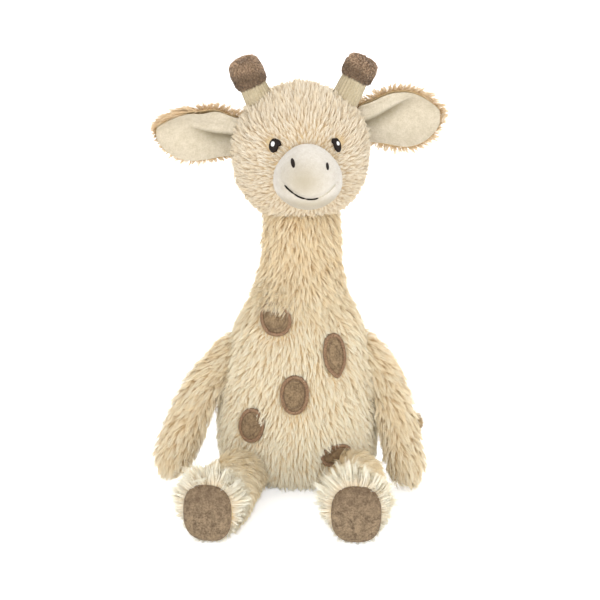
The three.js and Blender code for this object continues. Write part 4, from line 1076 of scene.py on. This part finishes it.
# Place along the arm and its radius, as shares; then each arm's course, outward, back and up from the seam.
arm_rows = [
    (0.000, 0.40), (0.016, 0.62), (0.050, 0.88), (0.105, 1.00), (0.250, 0.985), (0.400, 0.965), (0.550, 0.965),
    (0.700, 0.985), (0.860, 1.010), (0.940, 0.90), (0.980, 0.63), (1.000, 0.30),
]
arm_courses = {
    "right": [(-9.3, 3.6, 8.6), (0, 0, 0), (13, -5, -12), (22, -11, -22), (28, -15, -34), (33, -19, -46),
              (38, -23, -58), (43, -27, -71), (45.2, -29.4, -77)],
    "left": [(-9.3, 4.3, 10.2), (0, 0, 0), (10.5, -5, -12), (16, -10, -22), (19.5, -14, -34), (22, -18, -46),
             (24.5, -22, -58), (27.5, -26, -71), (31, -29, -84)],
}


def along_course(points, shares, inset):
    """Places and directions at shares of a smooth course, which is drawn in at both ends."""
    points = np.asarray(points, float)
    fine = []
    padded = np.vstack([2 * points[0] - points[1], points, 2 * points[-1] - points[-2]])
    for k in range(1, len(padded) - 2):
        for t in np.linspace(0, 1, 12, endpoint=False):
            a, b, c, d = padded[k - 1:k + 3]
            fine.append(0.5 * (2 * b + (c - a) * t + (2 * a - 5 * b + 4 * c - d) * t ** 2
                               + (3 * b - a - 3 * c + d) * t ** 3))
    fine = np.array(fine + [points[-1]])
    run = run_of(fine)
    at = inset + np.asarray(shares) * (run[-1] - 2 * inset)
    return along_run(at, run, fine), unit(along_run(at, run, np.gradient(fine, axis=0)))


def way_near(points, spots, ways):
    """For each point, the course's direction at its nearest place."""
    return ways[np.argmin(((points[:, None] - spots[None]) ** 2).sum(axis=2), axis=1)]


for side, word, thicker, seed in ((-1, "right", 1.3, 71), (1, "left", 0, 72)):
    course = [(side * (shoulder_out + out), forth, shoulder_height + up)
              for out, forth, up in arm_courses[word]]
    spots, ways = along_course(course, [row[0] for row in arm_rows], skin_depth * 0.8)
    rings = []
    for (along, wide), spot, way in zip(arm_rows, spots, ways):
        across = unit(np.cross(way, FORTH))
        thick = arm_radius + thicker * math.exp(-((along - 0.66) / 0.2) ** 2)
        rings.append(ring_about(spot, across, np.cross(way, across), max(wide * thick - skin_depth, 2),
                                max(wide * arm_radius - skin_depth, 2), 20))
    arm = closed_skin(f"arm_{word}_backing", rings, cream_backing)
    points, _ = skin_points(arm)
    comb = way_near(points, spots, ways) + np.array([side * 0.25, 0, -0.2])
    combed(arm, comb, 9.4, 0.54, 0.62, np.where(points[:, 0] * side > 38, 1.0, 0.0))
    arm_pile = pile_on(arm, f"arm_{word}_pile", cream_pile, seed, spacing=2.0, pull=0.66)
    belongs((arm, arm_pile), f"arm_{word}", f"arm_cover_{word}")
    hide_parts(f"arm_filling_{word}")


# The legs: stuffed plush tubes that lie forward on the table. Each ends in a sole of brown velour, and the
# pile stands out round it, longer and whiter than elsewhere.
leg_reach, leg_half_width, leg_half_height, leg_root = 79, 20.3, 21.4, 16
hip_forward, hip_height, sole_height, hip_sink = 38, 16, 21.4, 0.5
pad_half_width, pad_half_height, pad_drop, pad_boxiness, bare_half_width = 15.5, 18.0, 1.4, 2.7, 15.3
# Place along the leg, half width and half height as shares, from the hip to the sole.
leg_rows = [
    (0.000, 0.30, 0.28), (0.018, 0.44, 0.42), (0.055, 0.61, 0.575), (0.105, 0.735, 0.695),
    (0.168, 0.79, 0.748), (0.400, 0.85, 0.83), (0.650, 0.93, 0.92), (0.880, 1.00, 1.00),
    (0.960, 0.985, 0.99), (0.990, 0.90, 0.93), (1.000, 0.80, 0.86), (0.995, 0.55, 0.6),
]
# Place before the leg's end and size of each ring of the sole.
pad_rows = ((-2.2, 0.9), (-1.6, 1.0), (0.2, 1.0), (1.3, 0.93), (2.2, 0.78), (2.8, 0.55), (3.0, 0.28))
# The last colour is the sole's painted shade towards its top.
sole_velour = velour_finish("sole_velour", (166, 143, 113), (80, 62, 43), 0.2, 760.0, (92, 70, 50))
foot_pile = pile_finish("foot_pile", ((224, 189, 132), (253, 240, 214)), ((255, 233, 186), (255, 252, 238)))
foot_backing = backing_finish("foot_backing", (244, 222, 178), (222, 194, 144))
for side, word, offset, splay, seed in ((-1, "right", 38, 13.4, 81), (1, "left", 37, -2.4, 82)):
    turn = math.radians(splay)
    hip = np.array([side * offset, -hip_forward, hip_height - hip_sink])
    end = hip + np.array([side * leg_reach * math.sin(turn), -leg_reach * math.cos(turn),
                          sole_height - hip_height])
    way = unit(end - hip)
    start = hip - way * leg_root
    across = unit(np.cross(way, UPWARD))
    up = np.cross(across, way)
    outside = -side * across
    length = np.linalg.norm(end - start)
    rings = [ring_about(start + way * (skin_depth + along * (length - skin_depth - 0.6)), across, up,
                        max(wide * leg_half_width - skin_depth, 3),
                        max(high * leg_half_height - skin_depth, 3), 24)
             for along, wide, high in leg_rows]
    leg = closed_skin(f"leg_{word}_backing", rings, foot_backing)
    points, _ = skin_points(leg)
    points[:, 2] = np.maximum(points[:, 2], 0.6)
    leg.data.vertices.foreach_set("co", (points * MM).ravel())
    leg.data.update()
    points, outward = skin_points(leg)
    from_sole = points - end
    depth_back = -(from_sole @ way)
    radial = from_sole + np.outer(depth_back, way)
    sole_share = np.hypot((radial @ across) / bare_half_width, ((radial @ up) + pad_drop) / pad_half_height)
    at_end = (outward @ way) > 0.3
    foot = eased(depth_back, 30, 8)
    high = eased(radial @ up, -9, 11)
    outer = eased(radial @ outside, 6, 14)
    inner = eased(radial @ outside, -4, -12) * (1 - high)
    cover = np.where(at_end, eased(sole_share, 0.93, 0.99), 1.0) * eased(points[:, 2], 1.0, 4.0)
    cover *= np.where(points[:, 1] > -hip_forward + 11 * outer, 0.0, 1.0)
    comb = unit(radial) * at_end[:, None] + np.outer(np.where(at_end, 0.0, 0.35), way)
    comb += np.outer(0.7 - 0.7 * foot, [0, 0, -1]) + np.outer((1 - foot) * 0.8, SIDEWAYS)
    pile_length = 8.8 + foot * (5.4 * high - 2.4 - 1.2 * outer * (1 - 0.5 * high) - 2.6 * inner)
    combed(leg, comb, pile_length, 0.52 + 0.4 * foot, 0.38 + 0.58 * foot, cover)
    leg_pile = pile_on(leg, f"leg_{word}_pile", foot_pile, seed, strands=4.4, spacing=1.6, pull=0.62,
                       tousle=0.3, swirl=0.25)
    belongs((leg, leg_pile), f"leg_{word}", f"leg_cover_{word}")
    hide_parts(f"leg_filling_{word}")
    boxy = np.array([
        (abs(math.cos(t)) ** pad_boxiness + abs(math.sin(t)) ** pad_boxiness) ** (-1 / pad_boxiness)
        for t in np.arange(32) * 2 * math.pi / 32])
    pad_rings = []
    for forth, share in pad_rows:
        ring = ring_about(end + way * forth - up * pad_drop + outside * 0.7, across, up,
                          pad_half_width * share, pad_half_height * share, 32)
        middle = ring.mean(axis=0)
        ring = middle + (ring - middle) * boxy[:, None]
        ring[:, 2] = np.maximum(ring[:, 2], 0.8)
        pad_rings.append(ring)
    sole = closed_skin(f"sole_{word}_velour", pad_rings, sole_velour)
    # Painted shade: the sole darkens towards its top.
    marked(sole, "painted_shade_and_tint", 0.36 * eased(skin_points(sole)[0][:, 2], 14, 36))
    belongs((sole,), f"leg_{word}", f"sole_{word}")


# The tail: a thin plush cord sewn into the back just above the table, which ends in a loose brown tuft.
tail_course = [(0, 47, 26), (2, 55, 22), (9, 64, 14), (22, 71, 8), (38, 75, 5), (54, 76, 4.6), (67, 76, 7)]
cord_radius, cord_start_radius = 3.0, 2.0
spots, ways = along_course(tail_course, np.linspace(0, 1, 24), 0.0)
cord_rings = []
for n, (spot, way) in enumerate(zip(spots, ways)):
    across = unit(np.cross(way, UPWARD))
    radius = cord_radius if n else cord_start_radius
    cord_rings.append(ring_about(spot, across, np.cross(across, way), radius, radius, 12))
tail = closed_skin("tail_cord_plush", cord_rings, cream_backing, 1)
points, _ = skin_points(tail)
combed(tail, way_near(points, spots, ways), 3.4, 0.35, 0.42, eased(points[:, 1], 47, 50))
tail_pile = pile_on(tail, "tail_cord_pile", cream_pile, 91, spacing=2.0, width=0.4)
belongs((tail, tail_pile), "tail", "tail_cord")
brown_pile = pile_finish("brown_pile", ((146, 120, 84), (180, 152, 112)),
                         ((190, 164, 122), (228, 204, 162)), 0.2)
tuft_backing = backing_finish("tuft_backing", (206, 178, 136), (170, 142, 102))
tuft_middle, tuft_half_length, tuft_radius = (77.5, 76, 9.4), 9.5, 5.5
tuft_rings = []
for angle in np.linspace(0.25, math.pi - 0.25, 9):
    centre = np.array(tuft_middle) - np.array(SIDEWAYS) * tuft_half_length * math.cos(angle)
    radius = tuft_radius * math.sin(angle)
    tuft_rings.append(ring_about(centre, FORTH, UPWARD, radius, radius, 16))
tuft = closed_skin("tail_tuft_core", tuft_rings, tuft_backing, 1)
combed(tuft, np.array([[1.0, 0.1, -0.1]]), 6.0, 0.55, 0.5, 1.0)
tuft_pile = pile_on(tuft, "tail_tuft_pile", brown_pile, 92, strands=4.0, spacing=2.6, width=0.45)
belongs((tuft, tuft_pile), "tail", "tail_tuft")
